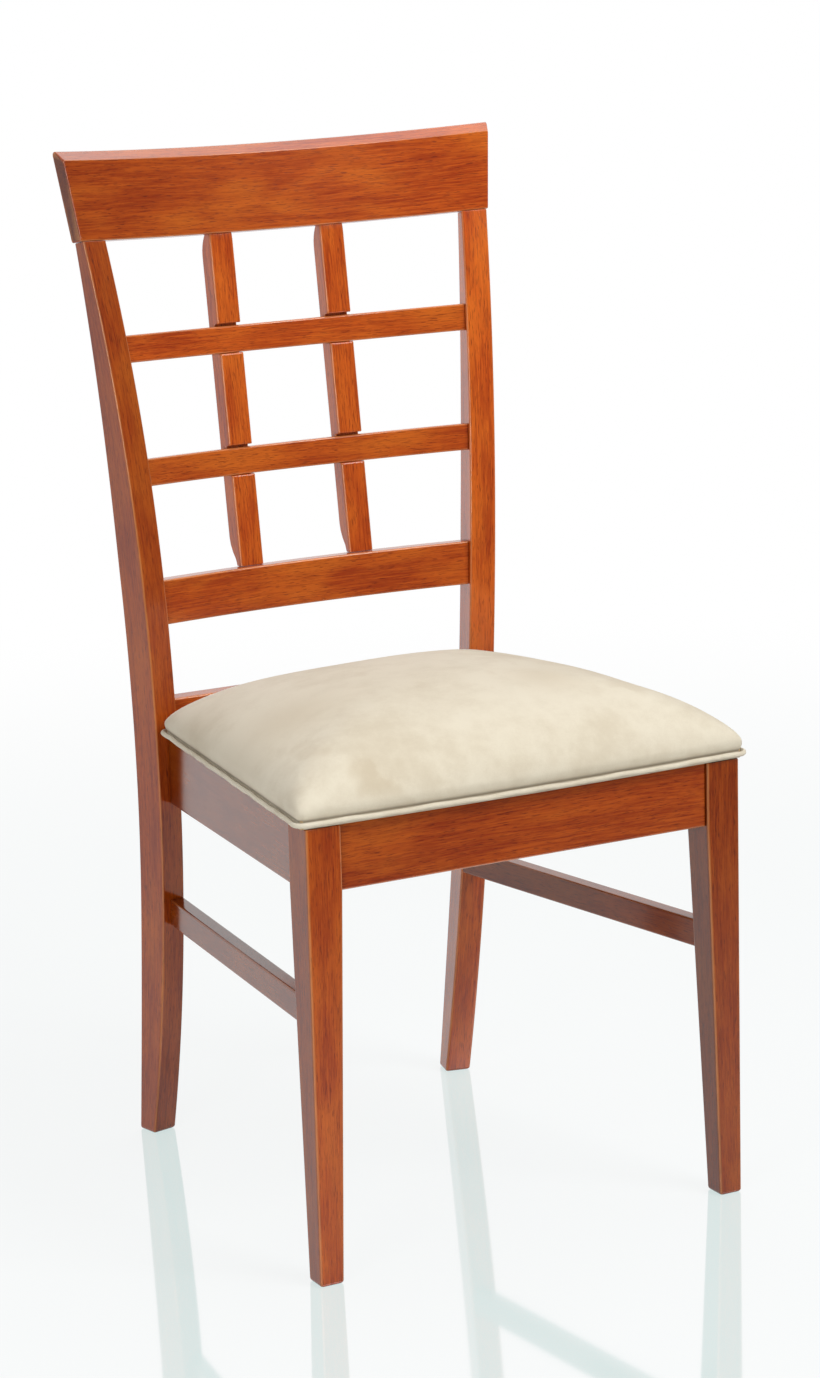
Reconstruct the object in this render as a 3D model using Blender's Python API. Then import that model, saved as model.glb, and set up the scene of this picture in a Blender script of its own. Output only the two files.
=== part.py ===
"""Wooden dining chair with a curved lattice back and an upholstered seat pad.

Units are metres. Z is up, the sitter faces -Y, and the right-hand side is +X. The back is the skilled part:
two posts sawn to a sweep, toed in and leaning out, carry a bevelled crest rail and three rails cut on arcs.
Two raked slats are half lapped over the lattice rails and tenoned into the crest and the lower back rail.
"""

import math

import bmesh
import bpy
import numpy as np
from mathutils import Matrix, Vector

# Shared clearances and small sizes
FIT_GAP = 0.0003
OVERRUN = 0.004
ARRIS = 0.0018
FOOT_CHAMFER = 0.003

# Front legs: square at the seat frame, tapered on their inner faces down to the foot
LEG_OUTER_X = 0.2218
LEG_FRONT_Y = -0.2569
LEG_WIDTH = 0.0342
LEG_DEPTH = 0.0363
LEG_FOOT_WIDTH = 0.0232
LEG_FOOT_DEPTH = 0.0234

# Seat frame
FRAME_TOP = 0.419
FRONT_APRON_HEIGHT = 0.060
FRONT_APRON_SETBACK = 0.004
APRON_THICKNESS = 0.020
SIDE_APRON_THICKNESS = 0.018
SIDE_APRON_LEG_INSET = 0.0022
SIDE_APRON_POST_INSET = 0.013
SIDE_APRON_FRONT_HEIGHT = 0.057
SIDE_APRON_REAR_HEIGHT = 0.070
REAR_APRON_SETBACK = 0.0146
REAR_APRON_DROP = 0.053
REAR_APRON_RISE = 0.030
FRONT_APRON_BOTTOM = FRAME_TOP - FRONT_APRON_HEIGHT
SIDE_APRON_FRONT_BOTTOM = FRAME_TOP - SIDE_APRON_FRONT_HEIGHT
SIDE_APRON_REAR_BOTTOM = FRAME_TOP - SIDE_APRON_REAR_HEIGHT
REAR_APRON_BOTTOM = FRAME_TOP - REAR_APRON_DROP
REAR_APRON_TOP = FRAME_TOP + REAR_APRON_RISE

# Side stretchers
STRETCHER_WIDTH = 0.015
STRETCHER_HEIGHT = 0.0264
STRETCHER_FRONT_TOP = 0.2595
STRETCHER_REAR_TOP = 0.251
STRETCHER_LEG_INSET = 0.0074
STRETCHER_POST_INSET = 0.009
STRETCHER_TENON_WIDTH = 0.007
STRETCHER_TENON_HEIGHT = 0.018
STRETCHER_TENON_LENGTH = 0.010
STRETCHER_TENON_SHIFT = 0.0015

# Rear posts: one sawn profile each, from the floor to the crest
POST_FOOT_X = 0.1381
POST_LEAN = math.radians(2.502)
POST_TOE_IN = math.radians(12.5)
POST_WIDTH = 0.026
POST_WAIST_RISE = 0.061
POST_WAIST_Y = 0.1284
POST_FOOT_SWEEP = 0.0587
POST_FOOT_SWEEP_POWER = 2.1
POST_RAKE_SWEEP = 0.0481
POST_RAKE_POWER = 2.12
POST_DEPTH = 0.0365
POST_FOOT_DEPTH = 0.0235
POST_FOOT_SWELL_HEIGHT = 0.25
POST_FOOT_SWELL_POWER = 2.2
POST_TOP_DEPTH = 0.0150
POST_THINNING_RISE = 0.141
POST_THINNING_POWER = 1.6
POST_TENON_WIDTH = 0.017
POST_TENON_DEPTH = 0.006
POST_TENON_LENGTH = 0.022

# Crest rail: measured up its own rake from the bottom front edge
BACK_HEIGHT = 0.4676
CREST_SETBACK = 0.005
CREST_GAUGE_X = 0.200
CREST_RAKE = math.radians(11.5)
CREST_RADIUS = 0.77
CREST_HEIGHT = 0.0755
CREST_TOP_RISE = 0.0139
CREST_THICKNESS = 0.0145
CREST_DIP = 0.001
CREST_BOTTOM_HALF_LENGTH = 0.2177
CREST_TOP_HALF_LENGTH = 0.2275
CREST_END_ANGLE = math.radians(18)
CREST_TOP_ARRIS = 0.0025

# Lattice: slats and cross rails
SLAT_X = 0.0595
SLAT_FOOT_SETBACK = 0.0366
SLAT_HEAD_SETBACK = 0.0031
SLAT_TURN = math.radians(2.5)
SLAT_WIDTH = 0.0253
SLAT_DEPTH = 0.020
SLAT_END_DEPTH = 0.0075
SLAT_END_RUN = 0.026
SLAT_TENON_WIDTH = 0.017
SLAT_TENON_DEPTH = 0.005
SLAT_TENON_LENGTH = 0.012
RAIL_SETBACK = 0.005
LATTICE_RAIL_THICKNESS = 0.015
LATTICE_RAIL_HEIGHT = 0.026
LATTICE_REVEAL = 0.001
LATTICE_LAP = 0.0085
LATTICE_LAP_RELIEF = 0.0024
UPPER_RAIL_SHARE = 0.8094
MIDDLE_RAIL_SHARE = 0.5614
LATTICE_TENON_DEPTH = 0.008
LATTICE_TENON_HEIGHT = 0.018
LOWER_RAIL_SHARE = 0.3133
LOWER_RAIL_HEIGHT = 0.0428
LOWER_RAIL_THICKNESS = 0.018
LOWER_RAIL_RAKE = math.radians(4)
LOWER_RAIL_ADVANCE = 0.008
LOWER_TENON_DEPTH = 0.009
LOWER_TENON_HEIGHT = 0.030
RAIL_TENON_LENGTH = 0.011

# Heights and depths that follow from the seat frame and the height of the back
POST_WAIST_Z = FRAME_TOP + POST_WAIST_RISE
POST_THINNING_Z = FRAME_TOP + POST_THINNING_RISE
REAR_APRON_FRONT_Y = POST_WAIST_Y + REAR_APRON_SETBACK
CREST_BOTTOM_Z = FRAME_TOP + BACK_HEIGHT
CREST_END_Y = POST_WAIST_Y + POST_RAKE_SWEEP + CREST_SETBACK
UPPER_RAIL_TOP = FRAME_TOP + UPPER_RAIL_SHARE * BACK_HEIGHT
MIDDLE_RAIL_TOP = FRAME_TOP + MIDDLE_RAIL_SHARE * BACK_HEIGHT
LOWER_RAIL_TOP = FRAME_TOP + LOWER_RAIL_SHARE * BACK_HEIGHT
SLAT_GAUGE_Y = POST_WAIST_Y + SLAT_FOOT_SETBACK
SLAT_GAUGE_Z = LOWER_RAIL_TOP + ARRIS

# Dowels of the seat frame
DOWEL_DIAMETER = 0.006
DOWEL_LENGTH = 0.030
DOWEL_LOW_DROP = 0.043
DOWEL_HIGH_DROP = 0.013
REAR_DOWEL_LOW_DROP = 0.031
REAR_DOWEL_HIGH_RISE = 0.011
DOWEL_LOW_Z = FRAME_TOP - DOWEL_LOW_DROP
DOWEL_HIGH_Z = FRAME_TOP - DOWEL_HIGH_DROP
REAR_DOWEL_LOW_Z = FRAME_TOP - REAR_DOWEL_LOW_DROP
REAR_DOWEL_HIGH_Z = FRAME_TOP + REAR_DOWEL_HIGH_RISE
SIDE_DOWEL_OUTER_INSET = 0.0062

# Corner blocks and screws
BLOCK_HEIGHT = 0.035
FRONT_BLOCK_NEAR = 0.029
FRONT_BLOCK_FAR = 0.060
REAR_BLOCK_NEAR = 0.036
REAR_BLOCK_FAR = 0.078
SEAT_SCREW_SHARE = 0.75
BLOCK_SCREW_DROP = 0.028
BLOCK_SCREW_Z = FRAME_TOP - BLOCK_SCREW_DROP
BLOCK_SCREW_LENGTH = 0.026
BLOCK_SCREW_BITE = 0.013
SEAT_SCREW_LENGTH = 0.045
SCREW_SHANK_RADIUS = 0.0020
SCREW_HEAD_RADIUS = 0.0040
SCREW_HEAD_HEIGHT = 0.0025

# Seat pad
PAD_FRONT_OVERHANG = 0.0043
PAD_SIDE_OVERHANG = 0.0108
PAD_POST_GAP = 0.0035
PAD_REAR_HALF_WIDTH = 0.1839
PAD_CORNER_RADIUS = 0.008
PAD_FRONT_BOW = 0.005
PAD_FRONT_Y = LEG_FRONT_Y - PAD_FRONT_OVERHANG
PAD_REAR_Y = POST_WAIST_Y - PAD_POST_GAP
PAD_FRONT_HALF_WIDTH = LEG_OUTER_X + PAD_SIDE_OVERHANG
BOARD_THICKNESS = 0.012
DUST_COVER_THICKNESS = 0.0008
DUST_COVER_LAP = 0.003
COVER_THICKNESS = 0.002
WELT_RADIUS = 0.0034
PAD_DRAW_IN = 0.0042
PAD_BULGE = 0.004
PAD_REAR_BULGE = 0.0028
PAD_REAR_FADE = 0.060
PAD_FRONT_RISE = 0.0831
PAD_REAR_RISE = 0.0705
PAD_CROWN_SHARE = 0.46
PAD_ROUNDING_SHARE = 0.9
PAD_SWELL_SHARE = 0.25
PAD_TUCK_SHARE = 0.125
PAD_PLAN_POWER = 2.3
PAD_RISE_POWER = 1.83

# Tessellation
CORNER_STEPS = 2
POST_RINGS = 20
RAIL_RINGS = 13
SLAT_END_RINGS = 4
PAD_CORNER_POINTS = 4
PAD_SIDE_POINTS = 7
CROWN_RINGS = 11
ROUND_POINTS = 12
WELT_POINTS = 8
CUT_PASSES = 12
SMOOTH_BELOW = math.radians(40)

# Finishes: colour, roughness and metallic value
STAINED_WOOD = ("stained_wood", (0.452, 0.078, 0.010), 0.28, 0.0)
PLAIN_WOOD = ("plain_wood", (0.56, 0.38, 0.20), 0.60, 0.0)
PLYWOOD = ("plywood", (0.60, 0.44, 0.26), 0.65, 0.0)
MICROSUEDE = ("microsuede", (0.72, 0.64, 0.50), 0.85, 0.0)
FOAM = ("foam", (0.80, 0.74, 0.50), 0.95, 0.0)
DUST_CLOTH = ("dust_cloth", (0.03, 0.03, 0.03), 0.90, 0.0)
ZINC = ("zinc_steel", (0.62, 0.62, 0.60), 0.35, 1.0)

SIDES = {"left": -1, "right": 1}


def clear_scene():
    for thing in list(bpy.data.objects):
        bpy.data.objects.remove(thing, do_unlink=True)


def finish_material(finish):
    """One Principled material for a piece, named after its finish."""
    name, colour, roughness, metallic = finish
    material = bpy.data.materials.new(name)
    material.use_nodes = True
    shader = material.node_tree.nodes["Principled BSDF"]
    shader.inputs["Base Color"].default_value = (*colour, 1.0)
    shader.inputs["Roughness"].default_value = roughness
    shader.inputs["Metallic"].default_value = metallic
    material.diffuse_color = (*colour, 1.0)
    return material


class Chair:
    """The chair's pieces, all parented to one empty that stands on the floor."""

    def __init__(self):
        self.root = bpy.data.objects.new("chair_frame", None)
        bpy.context.collection.objects.link(self.root)
        self.pieces = []

    def add(self, name, rings, finish, place=None, looped=False):
        """Join rings of points, given in the chair's frame, into one solid with its origin at `place`."""
        place = place or Matrix.Translation(Vector(np.mean(np.concatenate(rings), axis=0)))
        piece = self.link(name, skin(name, rings, place, looped), place)
        piece.data.materials.append(finish_material(finish))
        piece.data.shade_smooth()
        piece.data.set_sharp_from_angle(angle=SMOOTH_BELOW)
        self.pieces.append(piece)
        return piece

    def cutter(self, name, rings, looped=False):
        """A hidden solid that pieces are cut with."""
        tool = self.link(name, skin(name, rings, Matrix.Identity(4), looped), Matrix.Identity(4))
        tool.hide_render = True
        tool.display_type = "WIRE"
        return tool

    def link(self, name, mesh, place):
        thing = bpy.data.objects.new(name, mesh)
        bpy.context.collection.objects.link(thing)
        thing.parent = self.root
        thing.matrix_local = place
        return thing

    def stand_on_origin(self):
        """Move the whole chair so that the middle of its plan lies over the origin."""
        bpy.context.view_layer.update()
        graph = bpy.context.evaluated_depsgraph_get()
        reach = []
        for piece in self.pieces:
            solid = piece.evaluated_get(graph)
            reach += [(solid.matrix_world @ point.co).y for point in solid.data.vertices]
        self.root.location.y = -(min(reach) + max(reach)) / 2


def carve(piece, *tools):
    """Cut each tool's shape out of a piece."""
    for tool in tools:
        cut = piece.modifiers.new(tool.name, "BOOLEAN")
        cut.operation = "DIFFERENCE"
        cut.solver = "EXACT"
        cut.object = tool


def skin(name, rings, place, looped):
    """Mesh that joins each ring of points to the next. The ends are closed, unless the rings make a loop."""
    count = len(rings[0])
    shape = bmesh.new()
    inverse = place.inverted()
    loops = [[shape.verts.new(inverse @ Vector(point)) for point in ring] for ring in rings]
    pairs = list(zip(loops, loops[1:]))
    if looped:
        pairs.append((loops[-1], loops[0]))
    else:
        shape.faces.new(loops[0])
        shape.faces.new(loops[-1])
    for first, second in pairs:
        for i in range(count):
            j = (i + 1) % count
            shape.faces.new((first[i], first[j], second[j], second[i]))
    bmesh.ops.recalc_face_normals(shape, faces=shape.faces)
    mesh = bpy.data.meshes.new(name)
    shape.to_mesh(mesh)
    shape.free()
    return mesh


def rounded_outline(corners, radius):
    """Points round a convex four-sided outline whose corners are rounded."""
    corners = np.array(corners, dtype=float)
    points = []
    for i, corner in enumerate(corners):
        back = corners[i - 1] - corner
        ahead = corners[(i + 1) % len(corners)] - corner
        back /= np.linalg.norm(back)
        ahead /= np.linalg.norm(ahead)
        half_angle = math.acos(np.clip(back @ ahead, -1, 1)) / 2
        bisector = (back + ahead) / np.linalg.norm(back + ahead)
        centre = corner + bisector * radius / math.sin(half_angle)
        start = -ahead_normal(back, ahead)
        end = -ahead_normal(ahead, back)
        for step in range(CORNER_STEPS + 1):
            share = step / CORNER_STEPS
            turn = (1 - share) * start + share * end
            points.append(centre + radius * turn / np.linalg.norm(turn))
    return np.array(points)


def ahead_normal(edge, other):
    """Unit direction square to an edge, pointing to the side where the other edge lies."""
    square = other - (other @ edge) * edge
    return square / np.linalg.norm(square)


def rectangle(low_a, high_a, low_b, high_b, radius=ARRIS):
    """Rounded rectangle between two limits on each axis of a section."""
    return rounded_outline([(low_a, low_b), (high_a, low_b), (high_a, high_b), (low_a, high_b)], radius)


def cut_ring(ring_at, distance_of, start, step):
    """Slide each point of a ring along its piece until its distance to a face is zero, by the secant rule."""
    here = np.full(len(ring_at(start)), float(start))
    ahead = here + step
    height_here = distance_of(ring_at(here))
    for _ in range(CUT_PASSES):
        height_ahead = distance_of(ring_at(ahead))
        rise = height_ahead - height_here
        flat = np.abs(rise) < np.finfo(float).eps
        move = np.where(flat, 0.0, height_ahead * (ahead - here) / np.where(flat, 1.0, rise))
        here, height_here, ahead = ahead, height_ahead, ahead - move
    return ring_at(ahead)


def flat_face(point, normal, offset=0.0):
    """Signed distance from a flat face, plus an offset along its normal."""
    point = np.array(point, dtype=float)
    normal = np.array(normal, dtype=float)
    normal /= np.linalg.norm(normal)
    return lambda points: (points - point) @ normal - offset


def mirrored(rings, side):
    """The rings of a right-hand piece, turned into those of the piece on the given side."""
    return [ring * np.array([side, 1, 1]) for ring in rings]


def raked_frame(y, z, rake, x=0.0, turn=0.0):
    """Frame at a point, whose Z runs up a piece that leans back and whose Y runs back through it."""
    return Matrix.Translation((x, y, z)) @ Matrix.Rotation(-rake, 4, "X") @ Matrix.Rotation(turn, 4, "Z")


def carried(place, points):
    """Points of a placed frame, in the chair's frame."""
    matrix = np.array(place)
    return points @ matrix[:3, :3].T + matrix[:3, 3]


# Rear posts

def post_front_y(z):
    """Front edge of a post: swept back below the waist and raked back above it."""
    below = np.clip((POST_WAIST_Z - z) / POST_WAIST_Z, 0, None)
    above = np.clip((z - POST_WAIST_Z) / (CREST_BOTTOM_Z - POST_WAIST_Z), 0, None)
    sweep = POST_FOOT_SWEEP * below**POST_FOOT_SWEEP_POWER
    return POST_WAIST_Y + sweep + POST_RAKE_SWEEP * above**POST_RAKE_POWER


def post_depth(z):
    """Depth of a post from front to back: full at the seat, finer at the foot and at the top."""
    foot = np.clip(1 - z / POST_FOOT_SWELL_HEIGHT, 0, None) ** POST_FOOT_SWELL_POWER
    top = np.clip((z - POST_THINNING_Z) / (CREST_BOTTOM_Z - POST_THINNING_Z), 0, None) ** POST_THINNING_POWER
    return POST_DEPTH - (POST_DEPTH - POST_FOOT_DEPTH) * foot - (POST_DEPTH - POST_TOP_DEPTH) * top


def post_point(z, across, back):
    """Point of the right post: so far in from its outer face and so far back from its front face."""
    y = post_front_y(z)
    x = POST_FOOT_X + math.tan(POST_LEAN) * z + math.tan(POST_TOE_IN) * y
    inward = across * math.cos(POST_TOE_IN)
    return np.stack([
        x - inward + back * math.sin(POST_TOE_IN),
        y + across * math.sin(POST_TOE_IN) + back * math.cos(POST_TOE_IN),
        z + 0 * across,
    ], axis=-1)


def post_ring(inset=0.0):
    """Section of the right post at any height, drawn in by an inset."""
    unit = rectangle(0, 1, 0, 1, 0)
    near_across, near_back = unit.T

    def ring_at(z):
        z = np.broadcast_to(z, near_across.shape)
        depth = post_depth(z)
        offset = rectangle_offsets(ARRIS)
        across = near_across * POST_WIDTH + offset[:, 0] + inset * np.where(near_across > 0, -1, 1)
        back = near_back * depth + offset[:, 1] + inset * np.where(near_back > 0, -1, 1)
        return post_point(z, across, back)

    return ring_at


def rectangle_offsets(radius):
    """How far each point of a rounded rectangle lies from the sharp corner that it rounds."""
    reach = 4 * radius
    return rectangle(0, reach, 0, reach, radius) - rectangle(0, reach, 0, reach, 0)


def post_tenon_ring(grow=0.0):
    """Section of the tenon at the top of the right post."""
    low = (POST_WIDTH - POST_TENON_WIDTH) / 2 - grow
    high = (POST_WIDTH + POST_TENON_WIDTH) / 2 + grow
    front = (POST_TOP_DEPTH - POST_TENON_DEPTH) / 2 - grow
    rear = (POST_TOP_DEPTH + POST_TENON_DEPTH) / 2 + grow
    section = rectangle(low, high, front, rear, ARRIS)

    def ring_at(z):
        z = np.broadcast_to(z, section.shape[:1])
        return post_point(z, section[:, 0], section[:, 1])

    return ring_at


def post_inner_face(side, offset=0.0):
    """Distance from the inner face of a post, out of the wood."""
    return flat_face(
        (side * (POST_FOOT_X - POST_WIDTH / math.cos(POST_TOE_IN)), 0, 0),
        (-side, math.tan(POST_TOE_IN), math.tan(POST_LEAN)),
        offset,
    )


def post_front_face(offset=0.0):
    """Distance in front of the curved front face of the right post."""

    def distance_of(points):
        corner = post_point(points[:, 2], 0, 0)
        away = (points - corner)[:, :2] @ np.array([math.sin(POST_TOE_IN), math.cos(POST_TOE_IN)])
        return -away - offset

    return distance_of


def rear_post(chair, name, side):
    body = post_ring()
    foot = post_ring(inset=FOOT_CHAMFER)
    tenon = post_tenon_ring()
    rings = [foot(0.0)]
    heights = np.linspace(0, 1, POST_RINGS) * (CREST_BOTTOM_Z - OVERRUN - FOOT_CHAMFER) + FOOT_CHAMFER
    rings += [body(z) for z in heights[:-1]]
    rings.append(cut_ring(body, crest_bottom(FIT_GAP), CREST_BOTTOM_Z, OVERRUN))
    rings.append(cut_ring(tenon, crest_bottom(FIT_GAP), CREST_BOTTOM_Z, OVERRUN))
    rings.append(cut_ring(tenon, crest_bottom(-POST_TENON_LENGTH), CREST_BOTTOM_Z, OVERRUN))
    place = Matrix.Translation(post_point(0.0, POST_WIDTH / 2, POST_FOOT_DEPTH / 2) * np.array([side, 1, 1]))
    return chair.add(name, mirrored(rings, side), STAINED_WOOD, place)


# Crest rail

def crest_front_y(x):
    """Front of the crest rail at its bottom edge."""
    advance = math.sqrt(CREST_RADIUS**2 - x**2) - math.sqrt(CREST_RADIUS**2 - CREST_GAUGE_X**2)
    return CREST_END_Y + advance * math.cos(CREST_RAKE)


def crest_frame():
    """Frame of the crest rail: its origin is the middle of its bottom front edge."""
    reach = math.sqrt(CREST_RADIUS**2 - CREST_GAUGE_X**2)
    sag = CREST_RADIUS - reach
    y = CREST_END_Y + sag * math.cos(CREST_RAKE)
    z = CREST_BOTTOM_Z - sag * math.sin(CREST_RAKE)
    return raked_frame(y, z, CREST_RAKE)


def crest_bottom(offset=0.0):
    """Distance below the crest rail's bottom face."""
    place = crest_frame()
    return flat_face(place.translation, -place.col[2].xyz, offset)


def crest_ring(place, inset=0.0):
    """Section of the crest rail, whose top rises to a higher back edge, at a distance along its arc."""
    low, high = inset, CREST_THICKNESS - inset
    slope = CREST_TOP_RISE / CREST_THICKNESS
    corners = [(low, inset), (high, inset), (high, CREST_HEIGHT + slope * high - inset),
               (low, CREST_HEIGHT + slope * low - inset)]
    section = rounded_outline(corners, CREST_TOP_ARRIS - inset / 2)
    top_share = np.where(section[:, 1] > CREST_HEIGHT / 2, 1.0, 0.0)

    def ring_at(along):
        angle = np.broadcast_to(along, top_share.shape) / CREST_RADIUS
        reach = CREST_RADIUS + section[:, 0]
        dip = CREST_DIP * top_share * (1 - (reach * np.sin(angle) / CREST_TOP_HALF_LENGTH) ** 2)
        points = [reach * np.sin(angle), reach * np.cos(angle) - CREST_RADIUS, section[:, 1] - dip]
        return carried(place, np.stack(points, axis=-1))

    return ring_at


def crest_end(place, side, offset=0.0):
    """Distance past one end of the crest rail, which slants out towards the top."""
    angle = math.asin(CREST_BOTTOM_HALF_LENGTH / CREST_RADIUS)
    corner = Vector((side * CREST_BOTTOM_HALF_LENGTH, CREST_RADIUS * (math.cos(angle) - 1), 0))
    slant = (CREST_TOP_HALF_LENGTH - CREST_BOTTOM_HALF_LENGTH) / CREST_HEIGHT
    normal = Vector((side, -math.tan(CREST_END_ANGLE), -slant))
    return flat_face(place @ corner, place.to_3x3() @ normal, offset)


def top_rail(chair, name):
    place = crest_frame()
    body = crest_ring(place)
    tip = crest_ring(place, inset=ARRIS)
    length = CREST_BOTTOM_HALF_LENGTH
    rings = [cut_ring(tip, crest_end(place, -1), -length, ARRIS)]
    rings.append(cut_ring(body, crest_end(place, -1, -ARRIS), -length, ARRIS))
    rings += [body(share * (length - CREST_THICKNESS)) for share in np.linspace(-1, 1, RAIL_RINGS)]
    rings.append(cut_ring(body, crest_end(place, 1, -ARRIS), length, ARRIS))
    rings.append(cut_ring(tip, crest_end(place, 1), length, ARRIS))
    return chair.add(name, rings, STAINED_WOOD, place)


def post_tenon_cutter(chair, name, side):
    """Shape of a post's top tenon with its clearance, run out below the crest rail."""
    tenon = post_tenon_ring(grow=FIT_GAP)
    rings = [
        cut_ring(tenon, crest_bottom(OVERRUN), CREST_BOTTOM_Z, OVERRUN),
        cut_ring(tenon, crest_bottom(-POST_TENON_LENGTH - FIT_GAP), CREST_BOTTOM_Z, OVERRUN),
    ]
    return chair.cutter(name, mirrored(rings, side))


# Curved back rails

class BackRail:
    """A back rail cut on an arc, which stands a little behind the posts' inner corners at its ends.

    Its face is an arc through that point and through a point at the slats, both at its middle height.
    """

    def __init__(self, top, height, thickness, rake, ahead_of_slat, tenon_depth, tenon_height):
        middle = top - height * math.cos(rake) / 2
        end_x, end_y = post_point(np.array(middle), np.array(POST_WIDTH), np.array(RAIL_SETBACK))[:2]
        slat_y = slat_front_y(middle) - ahead_of_slat
        gain = (slat_y - end_y) * math.cos(rake)
        centre = (gain**2 - end_x**2 + SLAT_X**2) / (2 * gain)
        self.radius = math.hypot(gain - centre, SLAT_X)
        sag = centre + self.radius
        self.height = height
        self.thickness = thickness
        self.tenon = (tenon_depth, tenon_height)
        self.half_length = self.radius * math.asin(end_x / self.radius)
        self.place = raked_frame(end_y + sag * math.cos(rake), middle - sag * math.sin(rake), rake)

    def ring(self, section):
        """A section carried along the rail's arc."""

        def ring_at(along):
            angle = np.broadcast_to(along, section.shape[:1]) / self.radius
            reach = self.radius + section[:, 0]
            points = [reach * np.sin(angle), reach * np.cos(angle) - self.radius, section[:, 1] + 0 * angle]
            return carried(self.place, np.stack(points, axis=-1))

        return ring_at

    def body_ring(self):
        return self.ring(rectangle(0, self.thickness, -self.height / 2, self.height / 2))

    def tenon_ring(self, grow=0.0):
        depth, height = self.tenon
        middle = self.thickness / 2
        return self.ring(rectangle(middle - depth / 2 - grow, middle + depth / 2 + grow,
                                   -height / 2 - grow, height / 2 + grow))

    def solid(self, chair, name):
        body = self.body_ring()
        tenon = self.tenon_ring()
        length = self.half_length
        rings = []
        for side in (-1, 1):
            ends = [
                cut_ring(tenon, post_inner_face(side, -RAIL_TENON_LENGTH), side * length, ARRIS),
                cut_ring(tenon, post_inner_face(side, FIT_GAP), side * length, ARRIS),
                cut_ring(body, post_inner_face(side, FIT_GAP), side * length, ARRIS),
            ]
            if side < 0:
                rings += ends
                rings += [body(share * (length - self.thickness)) for share in np.linspace(-1, 1, RAIL_RINGS)]
            else:
                rings += reversed(ends)
        return chair.add(name, rings, STAINED_WOOD, self.place)

    def mortise(self, chair, name, side):
        """Shape of the tenon at one end with its clearance, run out through the post's inner face."""
        tenon = self.tenon_ring(grow=FIT_GAP)
        rings = [
            cut_ring(tenon, post_inner_face(side, OVERRUN), side * self.half_length, ARRIS),
            cut_ring(tenon, post_inner_face(side, -RAIL_TENON_LENGTH - FIT_GAP), side * self.half_length, ARRIS),
        ]
        return chair.cutter(name, rings)

    def top_face(self, offset=0.0):
        """Distance above the rail's top face."""
        up = self.place.col[2].xyz
        return flat_face(self.place.translation + up * self.height / 2, up, offset)


def lattice_rail(top):
    return BackRail(top, LATTICE_RAIL_HEIGHT, LATTICE_RAIL_THICKNESS, slat_rake(), -LATTICE_REVEAL,
                    LATTICE_TENON_DEPTH, LATTICE_TENON_HEIGHT)


def lower_rail():
    return BackRail(LOWER_RAIL_TOP, LOWER_RAIL_HEIGHT, LOWER_RAIL_THICKNESS, LOWER_RAIL_RAKE, LOWER_RAIL_ADVANCE,
                    LOWER_TENON_DEPTH, LOWER_TENON_HEIGHT)


# Slats

def slat_rake():
    """Lean of the slats, from their foot on the lower back rail to just behind the crest rail's front."""
    run = crest_front_y(SLAT_X) + SLAT_HEAD_SETBACK - SLAT_GAUGE_Y
    return math.atan(run / (CREST_BOTTOM_Z - SLAT_GAUGE_Z))


def slat_front_y(z):
    """Front of the slats, which are straight and raked."""
    return SLAT_GAUGE_Y + (z - SLAT_GAUGE_Z) * math.tan(slat_rake())


def slat_frame(side):
    """Frame of a slat: its origin lies on its front face at the gauge height, and it turns to the middle."""
    return raked_frame(SLAT_GAUGE_Y, SLAT_GAUGE_Z, slat_rake(), side * SLAT_X, -side * SLAT_TURN)


def slat_ring(place, foot, head):
    """Section of a slat at a distance up its length, thinned from behind near both ends."""
    offset = rectangle_offsets(ARRIS)
    across_share, back_share = rectangle(0, 1, 0, 1, 0).T

    def ring_at(up):
        up = np.broadcast_to(up, across_share.shape)
        nearest = np.minimum(np.abs(up - foot), np.abs(head - up))
        fall = np.clip(1 - nearest / SLAT_END_RUN, 0, 1) ** 2
        depth = SLAT_DEPTH - (SLAT_DEPTH - SLAT_END_DEPTH) * fall
        across = (across_share - 1 / 2) * SLAT_WIDTH + offset[:, 0]
        return carried(place, np.stack([across, back_share * depth + offset[:, 1], up], axis=-1))

    return ring_at


def slat_tenon_ring(place, grow=0.0):
    """Section of the tenons at the ends of a slat, just behind its front face."""
    front = (SLAT_END_DEPTH - SLAT_TENON_DEPTH) / 2
    section = rectangle(-SLAT_TENON_WIDTH / 2 - grow, SLAT_TENON_WIDTH / 2 + grow,
                        front - grow, front + SLAT_TENON_DEPTH + grow, ARRIS)

    def ring_at(up):
        up = np.broadcast_to(up, section.shape[:1])
        return carried(place, np.stack([section[:, 0], section[:, 1], up], axis=-1))

    return ring_at


def slat_ends(rail):
    """Where a slat's shoulders lie along it: on the lower back rail and under the crest rail."""
    place = slat_frame(1)
    tenon = slat_tenon_ring(place)
    inverse = np.array(place.inverted())
    foot = cut_ring(tenon, rail.top_face(FIT_GAP), 0.0, ARRIS)
    head = cut_ring(tenon, crest_bottom(FIT_GAP), CREST_BOTTOM_Z - SLAT_GAUGE_Z, ARRIS)
    return [float((ring @ inverse[:3, :3].T + inverse[:3, 3])[:, 2].mean()) for ring in (foot, head)]


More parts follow.
